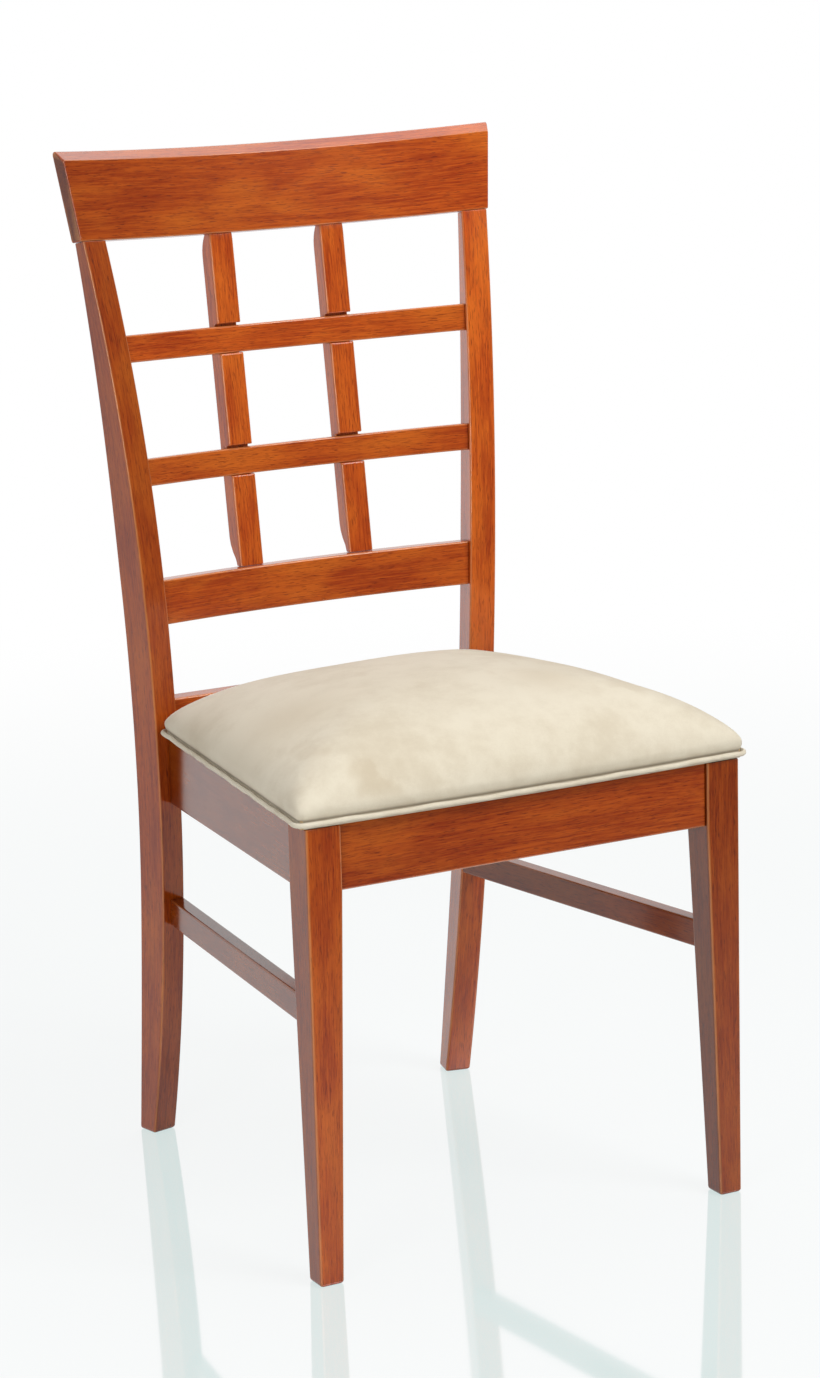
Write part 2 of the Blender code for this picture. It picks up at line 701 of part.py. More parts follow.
def slat(chair, name, side, rail):
    place = slat_frame(side)
    foot, head = slat_ends(rail)
    body = slat_ring(place, foot, head)
    tenon = slat_tenon_ring(place)
    run_shares = np.linspace(0, 1, SLAT_END_RINGS + 1)[1:]
    rings = [
        cut_ring(tenon, rail.top_face(-SLAT_TENON_LENGTH), foot, ARRIS),
        cut_ring(tenon, rail.top_face(FIT_GAP), foot, ARRIS),
        cut_ring(body, rail.top_face(FIT_GAP), foot, ARRIS),
    ]
    rings += [body(foot + share * SLAT_END_RUN) for share in run_shares]
    rings += [body(head - share * SLAT_END_RUN) for share in reversed(run_shares)]
    rings += [
        cut_ring(body, crest_bottom(FIT_GAP), head, ARRIS),
        cut_ring(tenon, crest_bottom(FIT_GAP), head, ARRIS),
        cut_ring(tenon, crest_bottom(-SLAT_TENON_LENGTH), head, ARRIS),
    ]
    return chair.add(name, rings, STAINED_WOOD, place)


def slat_mortises(chair, name, side, rail):
    """The clearance shapes of a slat's two tenons: the one in the lower rail and the one in the crest."""
    foot, head = slat_ends(rail)
    tenon = slat_tenon_ring(slat_frame(side), grow=FIT_GAP)
    low = [cut_ring(tenon, rail.top_face(OVERRUN), foot, ARRIS),
           cut_ring(tenon, rail.top_face(-SLAT_TENON_LENGTH - FIT_GAP), foot, ARRIS)]
    high = [cut_ring(tenon, crest_bottom(OVERRUN), head, ARRIS),
            cut_ring(tenon, crest_bottom(-SLAT_TENON_LENGTH - FIT_GAP), head, ARRIS)]
    return chair.cutter(name + "_foot_mortise", low), chair.cutter(name + "_head_mortise", high)


def lap_cutters(chair, name, side, rail):
    """The two halves of a lap joint: what the slat loses in front, and what the rail loses behind."""
    place = slat_frame(side)
    to_slat = place.inverted() @ rail.place
    middle = (to_slat @ Vector((side * SLAT_X, 0, 0))).z
    half_gap = FIT_GAP / 2
    slat_half = SLAT_WIDTH / 2
    rail_half = rail.height / 2
    notch_in_slat = [(-slat_half - OVERRUN, -OVERRUN), (slat_half + OVERRUN, -OVERRUN),
                     (slat_half + OVERRUN, LATTICE_LAP + half_gap), (-slat_half - OVERRUN, LATTICE_LAP + half_gap)]
    behind = SLAT_DEPTH + OVERRUN
    notch_in_rail = [(-slat_half - FIT_GAP, LATTICE_LAP - half_gap), (slat_half + FIT_GAP, LATTICE_LAP - half_gap),
                     (slat_half + FIT_GAP, behind), (-slat_half - FIT_GAP, behind)]
    tools = []
    limits = {
        "slat": (notch_in_slat, middle - rail_half - FIT_GAP, middle + rail_half + LATTICE_LAP_RELIEF),
        "rail": (notch_in_rail, middle - rail_half - OVERRUN, middle + rail_half + OVERRUN),
    }
    for label, (plan, low, high) in limits.items():
        rings = [carried(place, np.array([(a, b, up) for a, b in plan])) for up in (low, high)]
        tools.append(chair.cutter(f"{name}_lap_in_{label}", rings))
    return tools


# Front legs and the seat frame

def leg_ring(inset=0.0):
    """Section of the right front leg at any height: its outer and front faces are upright."""
    offset = rectangle_offsets(ARRIS)
    inward_share, back_share = rectangle(0, 1, 0, 1, 0).T

    def ring_at(z):
        z = np.broadcast_to(z, inward_share.shape)
        share = np.clip(z / FRONT_APRON_BOTTOM, 0, 1)
        width = LEG_FOOT_WIDTH + (LEG_WIDTH - LEG_FOOT_WIDTH) * share
        depth = LEG_FOOT_DEPTH + (LEG_DEPTH - LEG_FOOT_DEPTH) * share
        inward = inward_share * width + offset[:, 0] + inset * np.where(inward_share > 0, -1, 1)
        back = back_share * depth + offset[:, 1] + inset * np.where(back_share > 0, -1, 1)
        return np.stack([LEG_OUTER_X - inward, LEG_FRONT_Y + back, z], axis=-1)

    return ring_at


def leg_back_face(offset=0.0):
    """Distance behind the tapered back face of the right front leg."""

    def distance_of(points):
        share = np.clip(points[:, 2] / FRONT_APRON_BOTTOM, 0, 1)
        depth = LEG_FOOT_DEPTH + (LEG_DEPTH - LEG_FOOT_DEPTH) * share
        return points[:, 1] - LEG_FRONT_Y - depth - offset

    return distance_of


def front_leg(chair, name, side):
    body = leg_ring()
    foot = leg_ring(inset=FOOT_CHAMFER)
    rings = [foot(0.0), body(FOOT_CHAMFER), body(FRONT_APRON_BOTTOM), body(FRAME_TOP)]
    place = Matrix.Translation((side * (LEG_OUTER_X - LEG_FOOT_WIDTH / 2), LEG_FRONT_Y + LEG_FOOT_DEPTH / 2, 0))
    return chair.add(name, mirrored(rings, side), STAINED_WOOD, place)


def cross_board(chair, name, front_y, bottom, top, face_of):
    """A straight apron across the chair, cut to the face that each end meets."""
    section = rectangle(front_y, front_y + APRON_THICKNESS, bottom, top)

    def ring_at(x):
        x = np.broadcast_to(x, section.shape[:1])
        return np.stack([x, section[:, 0], section[:, 1]], axis=-1)

    reach = LEG_OUTER_X - LEG_WIDTH
    rings = [cut_ring(ring_at, face_of(side), side * reach, ARRIS) for side in (-1, 1)]
    return chair.add(name, rings, STAINED_WOOD)


def leg_inner_face(side):
    return flat_face((side * (LEG_OUTER_X - LEG_WIDTH), 0, 0), (-side, 0, 0), FIT_GAP)


class SideMember:
    """A straight member between a front leg and a rear post, given by the line of its outer face in plan."""

    def __init__(self, height, leg_inset, post_inset):
        self.front = np.array([LEG_OUTER_X - leg_inset, LEG_FRONT_Y + LEG_DEPTH])
        self.rear = post_point(np.array(height), np.array(post_inset), np.array(0.0))[:2]
        self.along = (self.rear - self.front) / np.linalg.norm(self.rear - self.front)
        self.inward = np.array([-self.along[1], self.along[0]])

    def point(self, y, inward, z):
        """Point at a distance back, measured in from the outer face."""
        run = (y - self.front[1]) / self.along[1]
        x = self.front[0] + run * self.along[0] + inward * self.inward[0]
        return np.stack([x, self.front[1] + run * self.along[1] + inward * self.inward[1], z], axis=-1)

    def share(self, y):
        return (y - self.front[1]) / (self.rear[1] - self.front[1])


def side_apron_line():
    return SideMember((FRAME_TOP + SIDE_APRON_REAR_BOTTOM) / 2, SIDE_APRON_LEG_INSET, SIDE_APRON_POST_INSET)


def side_apron(chair, name, side):
    line = side_apron_line()
    offset = rectangle_offsets(ARRIS)
    inward_share, up_share = rectangle(0, 1, 0, 1, 0).T

    def ring_at(y):
        y = np.broadcast_to(y, inward_share.shape)
        slope = SIDE_APRON_REAR_BOTTOM - SIDE_APRON_FRONT_BOTTOM
        bottom = SIDE_APRON_FRONT_BOTTOM + slope * line.share(y)
        z = bottom + up_share * (FRAME_TOP - bottom) + offset[:, 1]
        return line.point(y, inward_share * SIDE_APRON_THICKNESS + offset[:, 0], z)

    rings = [
        cut_ring(ring_at, leg_back_face(FIT_GAP), line.front[1], ARRIS),
        cut_ring(ring_at, post_front_face(2 * FIT_GAP), line.rear[1], ARRIS),
    ]
    return chair.add(name, mirrored(rings, side), STAINED_WOOD)


def stretcher_ring(line, low_a, high_a, low_b, high_b):
    """Section of a side stretcher, measured in from its outer face and down from its sloping top."""
    section = rectangle(low_a, high_a, low_b, high_b)

    def ring_at(y):
        y = np.broadcast_to(y, section.shape[:1])
        top = STRETCHER_FRONT_TOP + (STRETCHER_REAR_TOP - STRETCHER_FRONT_TOP) * line.share(y)
        return line.point(y, section[:, 0], top - section[:, 1])

    return ring_at


def stretcher_tenon_ring(line, grow=0.0):
    middle = STRETCHER_WIDTH / 2 - STRETCHER_TENON_SHIFT
    half_width = STRETCHER_TENON_WIDTH / 2 + grow
    half_height = STRETCHER_TENON_HEIGHT / 2 + grow
    level = STRETCHER_HEIGHT / 2
    return stretcher_ring(line, middle - half_width, middle + half_width, level - half_height, level + half_height)


def stretcher_line():
    return SideMember(STRETCHER_REAR_TOP - STRETCHER_HEIGHT / 2, STRETCHER_LEG_INSET, STRETCHER_POST_INSET)


def side_stretcher(chair, name, side):
    line = stretcher_line()
    body = stretcher_ring(line, 0, STRETCHER_WIDTH, 0, STRETCHER_HEIGHT)
    tenon = stretcher_tenon_ring(line)
    rings = [
        cut_ring(tenon, leg_back_face(-STRETCHER_TENON_LENGTH), line.front[1], ARRIS),
        cut_ring(tenon, leg_back_face(FIT_GAP), line.front[1], ARRIS),
        cut_ring(body, leg_back_face(FIT_GAP), line.front[1], ARRIS),
        cut_ring(body, post_front_face(FIT_GAP), line.rear[1], ARRIS),
        cut_ring(tenon, post_front_face(FIT_GAP), line.rear[1], ARRIS),
        cut_ring(tenon, post_front_face(-STRETCHER_TENON_LENGTH), line.rear[1], ARRIS),
    ]
    return chair.add(name, mirrored(rings, side), STAINED_WOOD)


def stretcher_mortises(chair, name, side):
    """The clearance shapes of a stretcher's tenons, in the leg and in the post."""
    line = stretcher_line()
    tenon = stretcher_tenon_ring(line, grow=FIT_GAP)
    deep = -STRETCHER_TENON_LENGTH - FIT_GAP
    tools = []
    for label, face_of, start in (("leg", leg_back_face, line.front[1]), ("post", post_front_face, line.rear[1])):
        rings = [cut_ring(tenon, face_of(OVERRUN), start, ARRIS), cut_ring(tenon, face_of(deep), start, ARRIS)]
        tools.append(chair.cutter(f"{name}_{label}_mortise", mirrored(rings, side)))
    return tools


# Dowels, blocks and screws

def round_rings(start, direction, profile, points=ROUND_POINTS):
    """Rings of a turned piece whose profile is a list of radii and distances along its axis."""
    axis = Vector(direction).normalized()
    across = axis.orthogonal().normalized()
    third = axis.cross(across)
    angles = np.linspace(0, math.tau, points, endpoint=False)
    circle = np.outer(np.cos(angles), across) + np.outer(np.sin(angles), third)
    return [np.array(start) + radius * circle + distance * np.array(axis) for radius, distance in profile]


def dowel_joint(chair, name, middle, direction, side):
    """A dowel centred on a joint and the hole that it fills in both pieces."""
    radius, half = DOWEL_DIAMETER / 2, DOWEL_LENGTH / 2
    chamfer = radius / 4
    profile = [(radius - chamfer, -half), (radius, chamfer - half), (radius, half - chamfer), (radius - chamfer, half)]
    hole = [(radius + FIT_GAP, -half - FIT_GAP), (radius + FIT_GAP, half + FIT_GAP)]
    pin = chair.add(name, mirrored(round_rings(middle, direction, profile), side), PLAIN_WOOD)
    bore = chair.cutter(name + "_hole", mirrored(round_rings(middle, direction, hole), side))
    return pin, bore


def block_corners(line, cross_y, towards, near, far):
    """Plan of a corner block between the inner faces of a cross apron and a side apron.

    It reaches from `near` to `far` along both faces, measured from the corner where they meet.
    """
    inner = line.point(np.array(cross_y), np.array(0.0), np.array(0.0))[:2]
    inner = inner + line.inward * SIDE_APRON_THICKNESS
    corner = inner + line.along * (cross_y - inner[1]) / line.along[1]
    beside = towards * line.along
    centre_gap = FIT_GAP * np.array([-1, towards])
    corner = corner + centre_gap
    inward = np.array([-1.0, 0.0])
    return corner, [corner + near * inward, corner + far * inward, corner + far * beside, corner + near * beside]


def corner_block(chair, name, side, corners):
    top = FRAME_TOP - DUST_COVER_THICKNESS - FIT_GAP
    rings = [np.array([(*corner, z) for corner in corners]) for z in (top - BLOCK_HEIGHT, top)]
    return chair.add(name, mirrored(rings, side), PLAIN_WOOD)


def screw(chair, name, side, head, direction, length, piece_cuts):
    """A countersunk screw from its head along a direction, and the holes it needs."""
    shank = SCREW_SHANK_RADIUS
    profile = [(SCREW_HEAD_RADIUS, 0), (shank, SCREW_HEAD_HEIGHT), (shank, length - shank), (shank / 4, length)]
    fastener = chair.add(name, mirrored(round_rings(head, direction, profile), side), ZINC)
    clear = SCREW_HEAD_RADIUS + FIT_GAP
    hole = [(clear, -OVERRUN * 4), (clear, FIT_GAP), (shank + FIT_GAP, SCREW_HEAD_HEIGHT + FIT_GAP),
            (shank + FIT_GAP, length + FIT_GAP)]
    bore = chair.cutter(name + "_hole", mirrored(round_rings(head, direction, hole), side))
    for piece in piece_cuts:
        carve(piece, bore)
    return fastener


# Seat pad

def pad_outline(offset):
    """Plan of the pad moved out by an offset: a trapezoid with round corners and a slightly bowed front."""
    radius = PAD_CORNER_RADIUS
    corners = np.array([(PAD_FRONT_HALF_WIDTH, PAD_FRONT_Y), (PAD_REAR_HALF_WIDTH, PAD_REAR_Y),
                        (-PAD_REAR_HALF_WIDTH, PAD_REAR_Y), (-PAD_FRONT_HALF_WIDTH, PAD_FRONT_Y)])
    bows = [0.0, 0.0, 0.0, PAD_FRONT_BOW]
    arcs = []
    for i, corner in enumerate(corners):
        back = corners[i - 1] - corner
        ahead = corners[(i + 1) % len(corners)] - corner
        back /= np.linalg.norm(back)
        ahead /= np.linalg.norm(ahead)
        half_angle = math.acos(back @ ahead) / 2
        centre = corner + (back + ahead) / np.linalg.norm(back + ahead) * radius / math.sin(half_angle)
        start, end = -ahead_normal(back, ahead), -ahead_normal(ahead, back)
        shares = np.linspace(0, 1, PAD_CORNER_POINTS)[:, None]
        turn = (1 - shares) * start + shares * end
        turn /= np.linalg.norm(turn, axis=1)[:, None]
        arcs.append((centre + (radius + offset) * turn, end))
    points = []
    for i, (arc, square) in enumerate(arcs):
        points.append(arc)
        following = arcs[(i + 1) % len(arcs)][0][0]
        shares = np.linspace(0, 1, PAD_SIDE_POINTS + 2)[1:-1, None]
        bow = bows[i] * np.sin(math.pi * shares) * square
        points.append((1 - shares) * arc[-1] + shares * following + bow)
    return np.concatenate(points)


def level_ring(offset, z):
    """The pad's outline, moved out by an offset, at one height."""
    plan = pad_outline(offset)
    return np.column_stack([plan, np.full(len(plan), z)])


def pad_seam():
    """Height of the seam above the piping."""
    return FRAME_TOP + 2 * FIT_GAP + 2 * WELT_RADIUS


def pad_rings(inset):
    """Rings of the pad from its lower edge to a small flat on its crown, set in by an inset.

    Above the seam each ring is the outline drawn in towards an oval round the crown. The share of the reach and the
    share of the rise follow powers of the cosine and the sine of one angle.
    """
    depth = PAD_REAR_Y - PAD_FRONT_Y
    centre = np.array([0.0, PAD_FRONT_Y + PAD_CROWN_SHARE * depth])
    oval_size = np.array([(PAD_FRONT_HALF_WIDTH + PAD_REAR_HALF_WIDTH) / 2, depth / 2])
    rings = [level_ring(-PAD_DRAW_IN - inset, FRAME_TOP + 2 * FIT_GAP)]
    for turn in np.linspace(0, math.pi / 2, CROWN_RINGS):
        share = max(math.cos(turn) ** (2 / PAD_PLAN_POWER), 1 / CROWN_RINGS**2)
        rise = math.sin(turn) ** (2 / PAD_RISE_POWER)
        tuck = PAD_DRAW_IN * max(1 - rise / PAD_TUCK_SHARE, 0)
        spoke = pad_outline(-inset - tuck) - centre
        outward = spoke / np.linalg.norm(spoke, axis=1)[:, None]
        oval = outward / np.linalg.norm(outward / oval_size, axis=1)[:, None]
        plan = centre + share * (spoke + (1 - share) * PAD_ROUNDING_SHARE * (oval - spoke))
        fade = np.clip((PAD_REAR_Y - plan[:, 1]) / PAD_REAR_FADE, 0, 1)
        bulge = PAD_REAR_BULGE + fade * (PAD_BULGE - PAD_REAR_BULGE)
        swell = bulge * math.sin(min(rise / PAD_SWELL_SHARE, 1) * math.pi / 2) * share**3
        plan = plan + swell[:, None] * outward
        back_share = (plan[:, 1] - PAD_FRONT_Y) / depth
        height = PAD_FRONT_RISE + back_share * (PAD_REAR_RISE - PAD_FRONT_RISE) - inset
        rings.append(np.column_stack([plan, pad_seam() + height * rise]))
    return rings


def seat_cover(chair, name):
    return chair.add(name, pad_rings(0.0)[::-1] + pad_rings(COVER_THICKNESS), MICROSUEDE)


def seat_foam(chair, name):
    """The foam slab: the inside of the cover, from just above the board."""
    inner = pad_rings(COVER_THICKNESS + FIT_GAP)
    base = board_top() + FIT_GAP
    above = [ring for ring in inner if ring[:, 2].min() > base + FIT_GAP]
    below = inner[len(inner) - len(above) - 1]
    share = (base - below[:, 2]) / (above[0][:, 2] - below[:, 2])
    first = below + share[:, None] * (above[0] - below)
    return chair.add(name, [first] + above, FOAM)


def board_top():
    return FRAME_TOP + FIT_GAP + BOARD_THICKNESS


def seat_board(chair, name):
    edge = -PAD_DRAW_IN - COVER_THICKNESS - FIT_GAP
    rings = [level_ring(edge, FRAME_TOP + FIT_GAP), level_ring(edge, board_top())]
    return chair.add(name, rings, PLYWOOD)


def seat_welt(chair, name):
    """Piping round the pad's lower edge, carried along its outline."""
    height = pad_seam() - WELT_RADIUS
    middle = -PAD_DRAW_IN + FIT_GAP + WELT_RADIUS
    rings = []
    for angle in np.linspace(0, math.tau, WELT_POINTS, endpoint=False):
        rings.append(level_ring(middle + WELT_RADIUS * math.cos(angle), height + WELT_RADIUS * math.sin(angle)))
    return chair.add(name, rings, MICROSUEDE, looped=True)


def dust_cover(chair, name):
    """Thin cloth under the board, inside the aprons."""
    line = side_apron_line()
    front_y = LEG_FRONT_Y + LEG_DEPTH + DUST_COVER_LAP
    rear_y = line.rear[1] - DUST_COVER_LAP - SIDE_APRON_THICKNESS / 2
    plan = []
    for y in (front_y, rear_y):
        inner = line.point(np.array(y), np.array(SIDE_APRON_THICKNESS + DUST_COVER_LAP), np.array(0.0))
        plan.append(inner[:2])
    outline = [plan[0], plan[1], plan[1] * np.array([-1, 1]), plan[0] * np.array([-1, 1])]
    rings = [np.array([(*point, z) for point in outline]) for z in (FRAME_TOP - DUST_COVER_THICKNESS, FRAME_TOP)]
    return chair.add(name, rings, DUST_CLOTH)


# Assembly

def build_back(chair, posts):
    rails = {
        "lattice_rail_upper": lattice_rail(UPPER_RAIL_TOP),
        "lattice_rail_middle": lattice_rail(MIDDLE_RAIL_TOP),
        "lower_back_rail": lower_rail(),
    }
    solids = {name: rail.solid(chair, name) for name, rail in rails.items()}
    crest = top_rail(chair, "top_rail")
    for label, side in SIDES.items():
        post = posts[label]
        carve(crest, post_tenon_cutter(chair, f"post_tenon_{label}", side))
        for name, rail in rails.items():
            carve(post, rail.mortise(chair, f"{name}_mortise_{label}", side))
        board = slat(chair, f"slat_{label}", side, rails["lower_back_rail"])
        low, high = slat_mortises(chair, f"slat_{label}", side, rails["lower_back_rail"])
        carve(solids["lower_back_rail"], low)
        carve(crest, high)
        for name in ("lattice_rail_upper", "lattice_rail_middle"):
            in_slat, in_rail = lap_cutters(chair, f"{name}_{label}", side, rails[name])
            carve(board, in_slat)
            carve(solids[name], in_rail)


def build_seat_frame(chair, posts, legs):
    front = cross_board(chair, "front_apron", LEG_FRONT_Y + FRONT_APRON_SETBACK, FRONT_APRON_BOTTOM, FRAME_TOP,
                        leg_inner_face)
    rear = cross_board(chair, "rear_apron", REAR_APRON_FRONT_Y, REAR_APRON_BOTTOM, REAR_APRON_TOP,
                       lambda side: post_inner_face(side, FIT_GAP))
    line = side_apron_line()
    front_middle_y = LEG_FRONT_Y + FRONT_APRON_SETBACK + APRON_THICKNESS / 2
    rear_middle_y = REAR_APRON_FRONT_Y + APRON_THICKNESS / 2
    toe = (math.sin(POST_TOE_IN), math.cos(POST_TOE_IN), 0)
    aprons = {}
    for label, side in SIDES.items():
        apron = side_apron(chair, f"side_apron_{label}", side)
        aprons[label] = apron
        side_stretcher(chair, f"side_stretcher_{label}", side)
        in_leg, in_post = stretcher_mortises(chair, f"side_stretcher_{label}", side)
        carve(legs[label], in_leg)
        carve(posts[label], in_post)
        for height, z, rear_z in (("low", DOWEL_LOW_Z, REAR_DOWEL_LOW_Z), ("high", DOWEL_HIGH_Z, REAR_DOWEL_HIGH_Z)):
            leg_point = (LEG_OUTER_X - LEG_WIDTH, front_middle_y, z)
            join(chair, f"dowel_front_{height}_{label}", leg_point, (1, 0, 0), side, front, legs[label])
            inner_x = POST_FOOT_X + math.tan(POST_LEAN) * rear_z + math.tan(POST_TOE_IN) * rear_middle_y
            inner_x -= POST_WIDTH / math.cos(POST_TOE_IN)
            join(chair, f"dowel_rear_{height}_{label}", (inner_x, rear_middle_y, rear_z), (1, 0, 0), side, rear,
                 posts[label])
            start = line.point(np.array(line.front[1]), np.array(SIDE_APRON_THICKNESS / 2), np.array(z))
            join(chair, f"dowel_side_front_{height}_{label}", start, (*line.along, 0), side, apron, legs[label])
            inset = SIDE_APRON_POST_INSET + SIDE_DOWEL_OUTER_INSET
            end = post_point(np.array(z), np.array(inset), np.array(0.0))
            join(chair, f"dowel_side_rear_{height}_{label}", end, toe, side, apron, posts[label])
    return front, rear, aprons


def join(chair, name, middle, direction, side, first, second):
    """Dowel two pieces together."""
    _, bore = dowel_joint(chair, name, middle, direction, side)
    carve(first, bore)
    carve(second, bore)


def build_blocks(chair, front, rear, aprons, board, cloth):
    line = side_apron_line()
    front_inner_y = LEG_FRONT_Y + FRONT_APRON_SETBACK + APRON_THICKNESS
    ends = {
        "front": (front_inner_y, 1, FRONT_BLOCK_NEAR, FRONT_BLOCK_FAR, front),
        "rear": (REAR_APRON_FRONT_Y, -1, REAR_BLOCK_NEAR, REAR_BLOCK_FAR, rear),
    }
    for end, (cross_y, towards, near, far, cross) in ends.items():
        corner, plan = block_corners(line, cross_y, towards, near, far)
        outer_middle, inner_middle = (plan[0] + plan[3]) / 2, (plan[1] + plan[2]) / 2
        middle = outer_middle + SEAT_SCREW_SHARE * (inner_middle - outer_middle)
        reach = (near + far) / 2
        for label, side in SIDES.items():
            block = corner_block(chair, f"corner_block_{end}_{label}", side, plan)
            bite = BLOCK_SCREW_LENGTH - BLOCK_SCREW_BITE
            start = (corner[0] - reach, corner[1] + towards * bite, BLOCK_SCREW_Z)
            screw(chair, f"block_screw_{end}_cross_{label}", side, start, (0, -towards, 0), BLOCK_SCREW_LENGTH,
                  (block, cross))
            beside = corner + towards * line.along * reach + line.inward * bite
            screw(chair, f"block_screw_{end}_side_{label}", side, (*beside, BLOCK_SCREW_Z), (*-line.inward, 0),
                  BLOCK_SCREW_LENGTH, (block, aprons[label]))
            head_z = FRAME_TOP - DUST_COVER_THICKNESS - FIT_GAP - BLOCK_HEIGHT
            screw(chair, f"seat_screw_{end}_{label}", side, (*middle, head_z), (0, 0, 1), SEAT_SCREW_LENGTH,
                  (block, cloth, board))


def build_chair():
    chair = Chair()
    posts = {label: rear_post(chair, f"rear_post_{label}", side) for label, side in SIDES.items()}
    legs = {label: front_leg(chair, f"front_leg_{label}", side) for label, side in SIDES.items()}
    build_back(chair, posts)
    front, rear, aprons = build_seat_frame(chair, posts, legs)
    board = seat_board(chair, "seat_board")
    cloth = dust_cover(chair, "dust_cover")
    build_blocks(chair, front, rear, aprons, board, cloth)
    seat_foam(chair, "seat_foam")
    seat_cover(chair, "seat_cover")
    seat_welt(chair, "seat_welt")
    chair.stand_on_origin()


clear_scene()
build_chair()
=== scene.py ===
"""Looks of the wooden dining chair: lacquered wood and a piped microsuede pad, in a white studio.

Pieces are worked out in the chair's own frame, whose front leg stands at LEG_FRONT_Y, and are then moved
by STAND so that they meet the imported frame. Every wooden member is a rounded section carried along a path
on a grid.
"""

import logging
import math
from dataclasses import dataclass, field
from enum import Enum
from typing import Callable, Sequence, Union

import bpy
import numpy as np
from mathutils import Matrix, Vector


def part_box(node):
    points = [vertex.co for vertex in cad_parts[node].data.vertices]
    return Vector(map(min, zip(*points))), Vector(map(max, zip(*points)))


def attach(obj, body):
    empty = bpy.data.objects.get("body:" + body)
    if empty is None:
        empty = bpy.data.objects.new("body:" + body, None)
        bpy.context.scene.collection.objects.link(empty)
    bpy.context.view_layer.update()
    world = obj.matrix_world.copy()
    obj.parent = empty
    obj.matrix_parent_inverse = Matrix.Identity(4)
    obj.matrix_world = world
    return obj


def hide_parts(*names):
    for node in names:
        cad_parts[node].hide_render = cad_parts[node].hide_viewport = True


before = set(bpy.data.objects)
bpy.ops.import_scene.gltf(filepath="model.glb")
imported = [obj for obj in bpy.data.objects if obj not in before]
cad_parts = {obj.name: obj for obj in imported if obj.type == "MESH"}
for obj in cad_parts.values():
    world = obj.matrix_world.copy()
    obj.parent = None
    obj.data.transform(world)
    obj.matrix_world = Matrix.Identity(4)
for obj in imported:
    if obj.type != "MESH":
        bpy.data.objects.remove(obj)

log = logging.getLogger("dining_chair")

Array = np.ndarray
Number = Union[int, float]
Face = Callable[[Array], Array]
Ring = Callable[..., Array]

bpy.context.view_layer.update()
BODY = "root"
FIT_GAP = 0.0003
LEG_FRONT_Y = -0.2569
STAND = np.array([0.0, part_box("front_leg_left")[0].y - LEG_FRONT_Y, 0.0])
FRAME_TOP = 0.419
SAWN_EASING = 0.0004
END_RUN = 0.012
CUT_RUN = 0.004
CREASE = math.radians(50)


class Side(Enum):
    """The two sides of the chair, as the sign of X."""

    LEFT = -1
    RIGHT = 1

    @property
    def label(self) -> str:
        """The side's word in the names of pieces."""
        return self.name.lower()


# Shader maths


class Value:
    """A number, colour or vector that changes over a surface. Arithmetic on it adds Math nodes."""

    def __init__(self, graph: "Graph", socket: bpy.types.NodeSocket) -> None:
        """Wrap an output socket of a graph."""
        self.graph = graph
        self.socket = socket

    def _math(self, operation: str, *terms: object) -> "Value":
        """Math node of some terms."""
        return self.graph.node("ShaderNodeMath", {"operation": operation}, *terms)

    def __add__(self, other: object) -> "Value":
        """Sum."""
        return self._math("ADD", self, other)

    __radd__ = __add__

    def __sub__(self, other: object) -> "Value":
        """Difference."""
        return self._math("SUBTRACT", self, other)

    def __rsub__(self, other: object) -> "Value":
        """Difference, reflected."""
        return self._math("SUBTRACT", other, self)

    def __mul__(self, other: object) -> "Value":
        """Product."""
        return self._math("MULTIPLY", self, other)

    __rmul__ = __mul__

    def larger(self, other: object) -> "Value":
        """The larger of two values."""
        return self._math("MAXIMUM", self, other)

    def ramp(self, low: Number, high: Number) -> "Value":
        """0 below `low`, 1 above `high` and a smooth rise between them."""
        settings = {"interpolation_type": "SMOOTHSTEP"}
        return self.graph.node("ShaderNodeMapRange", settings, self, low, high, 0.0, 1.0)


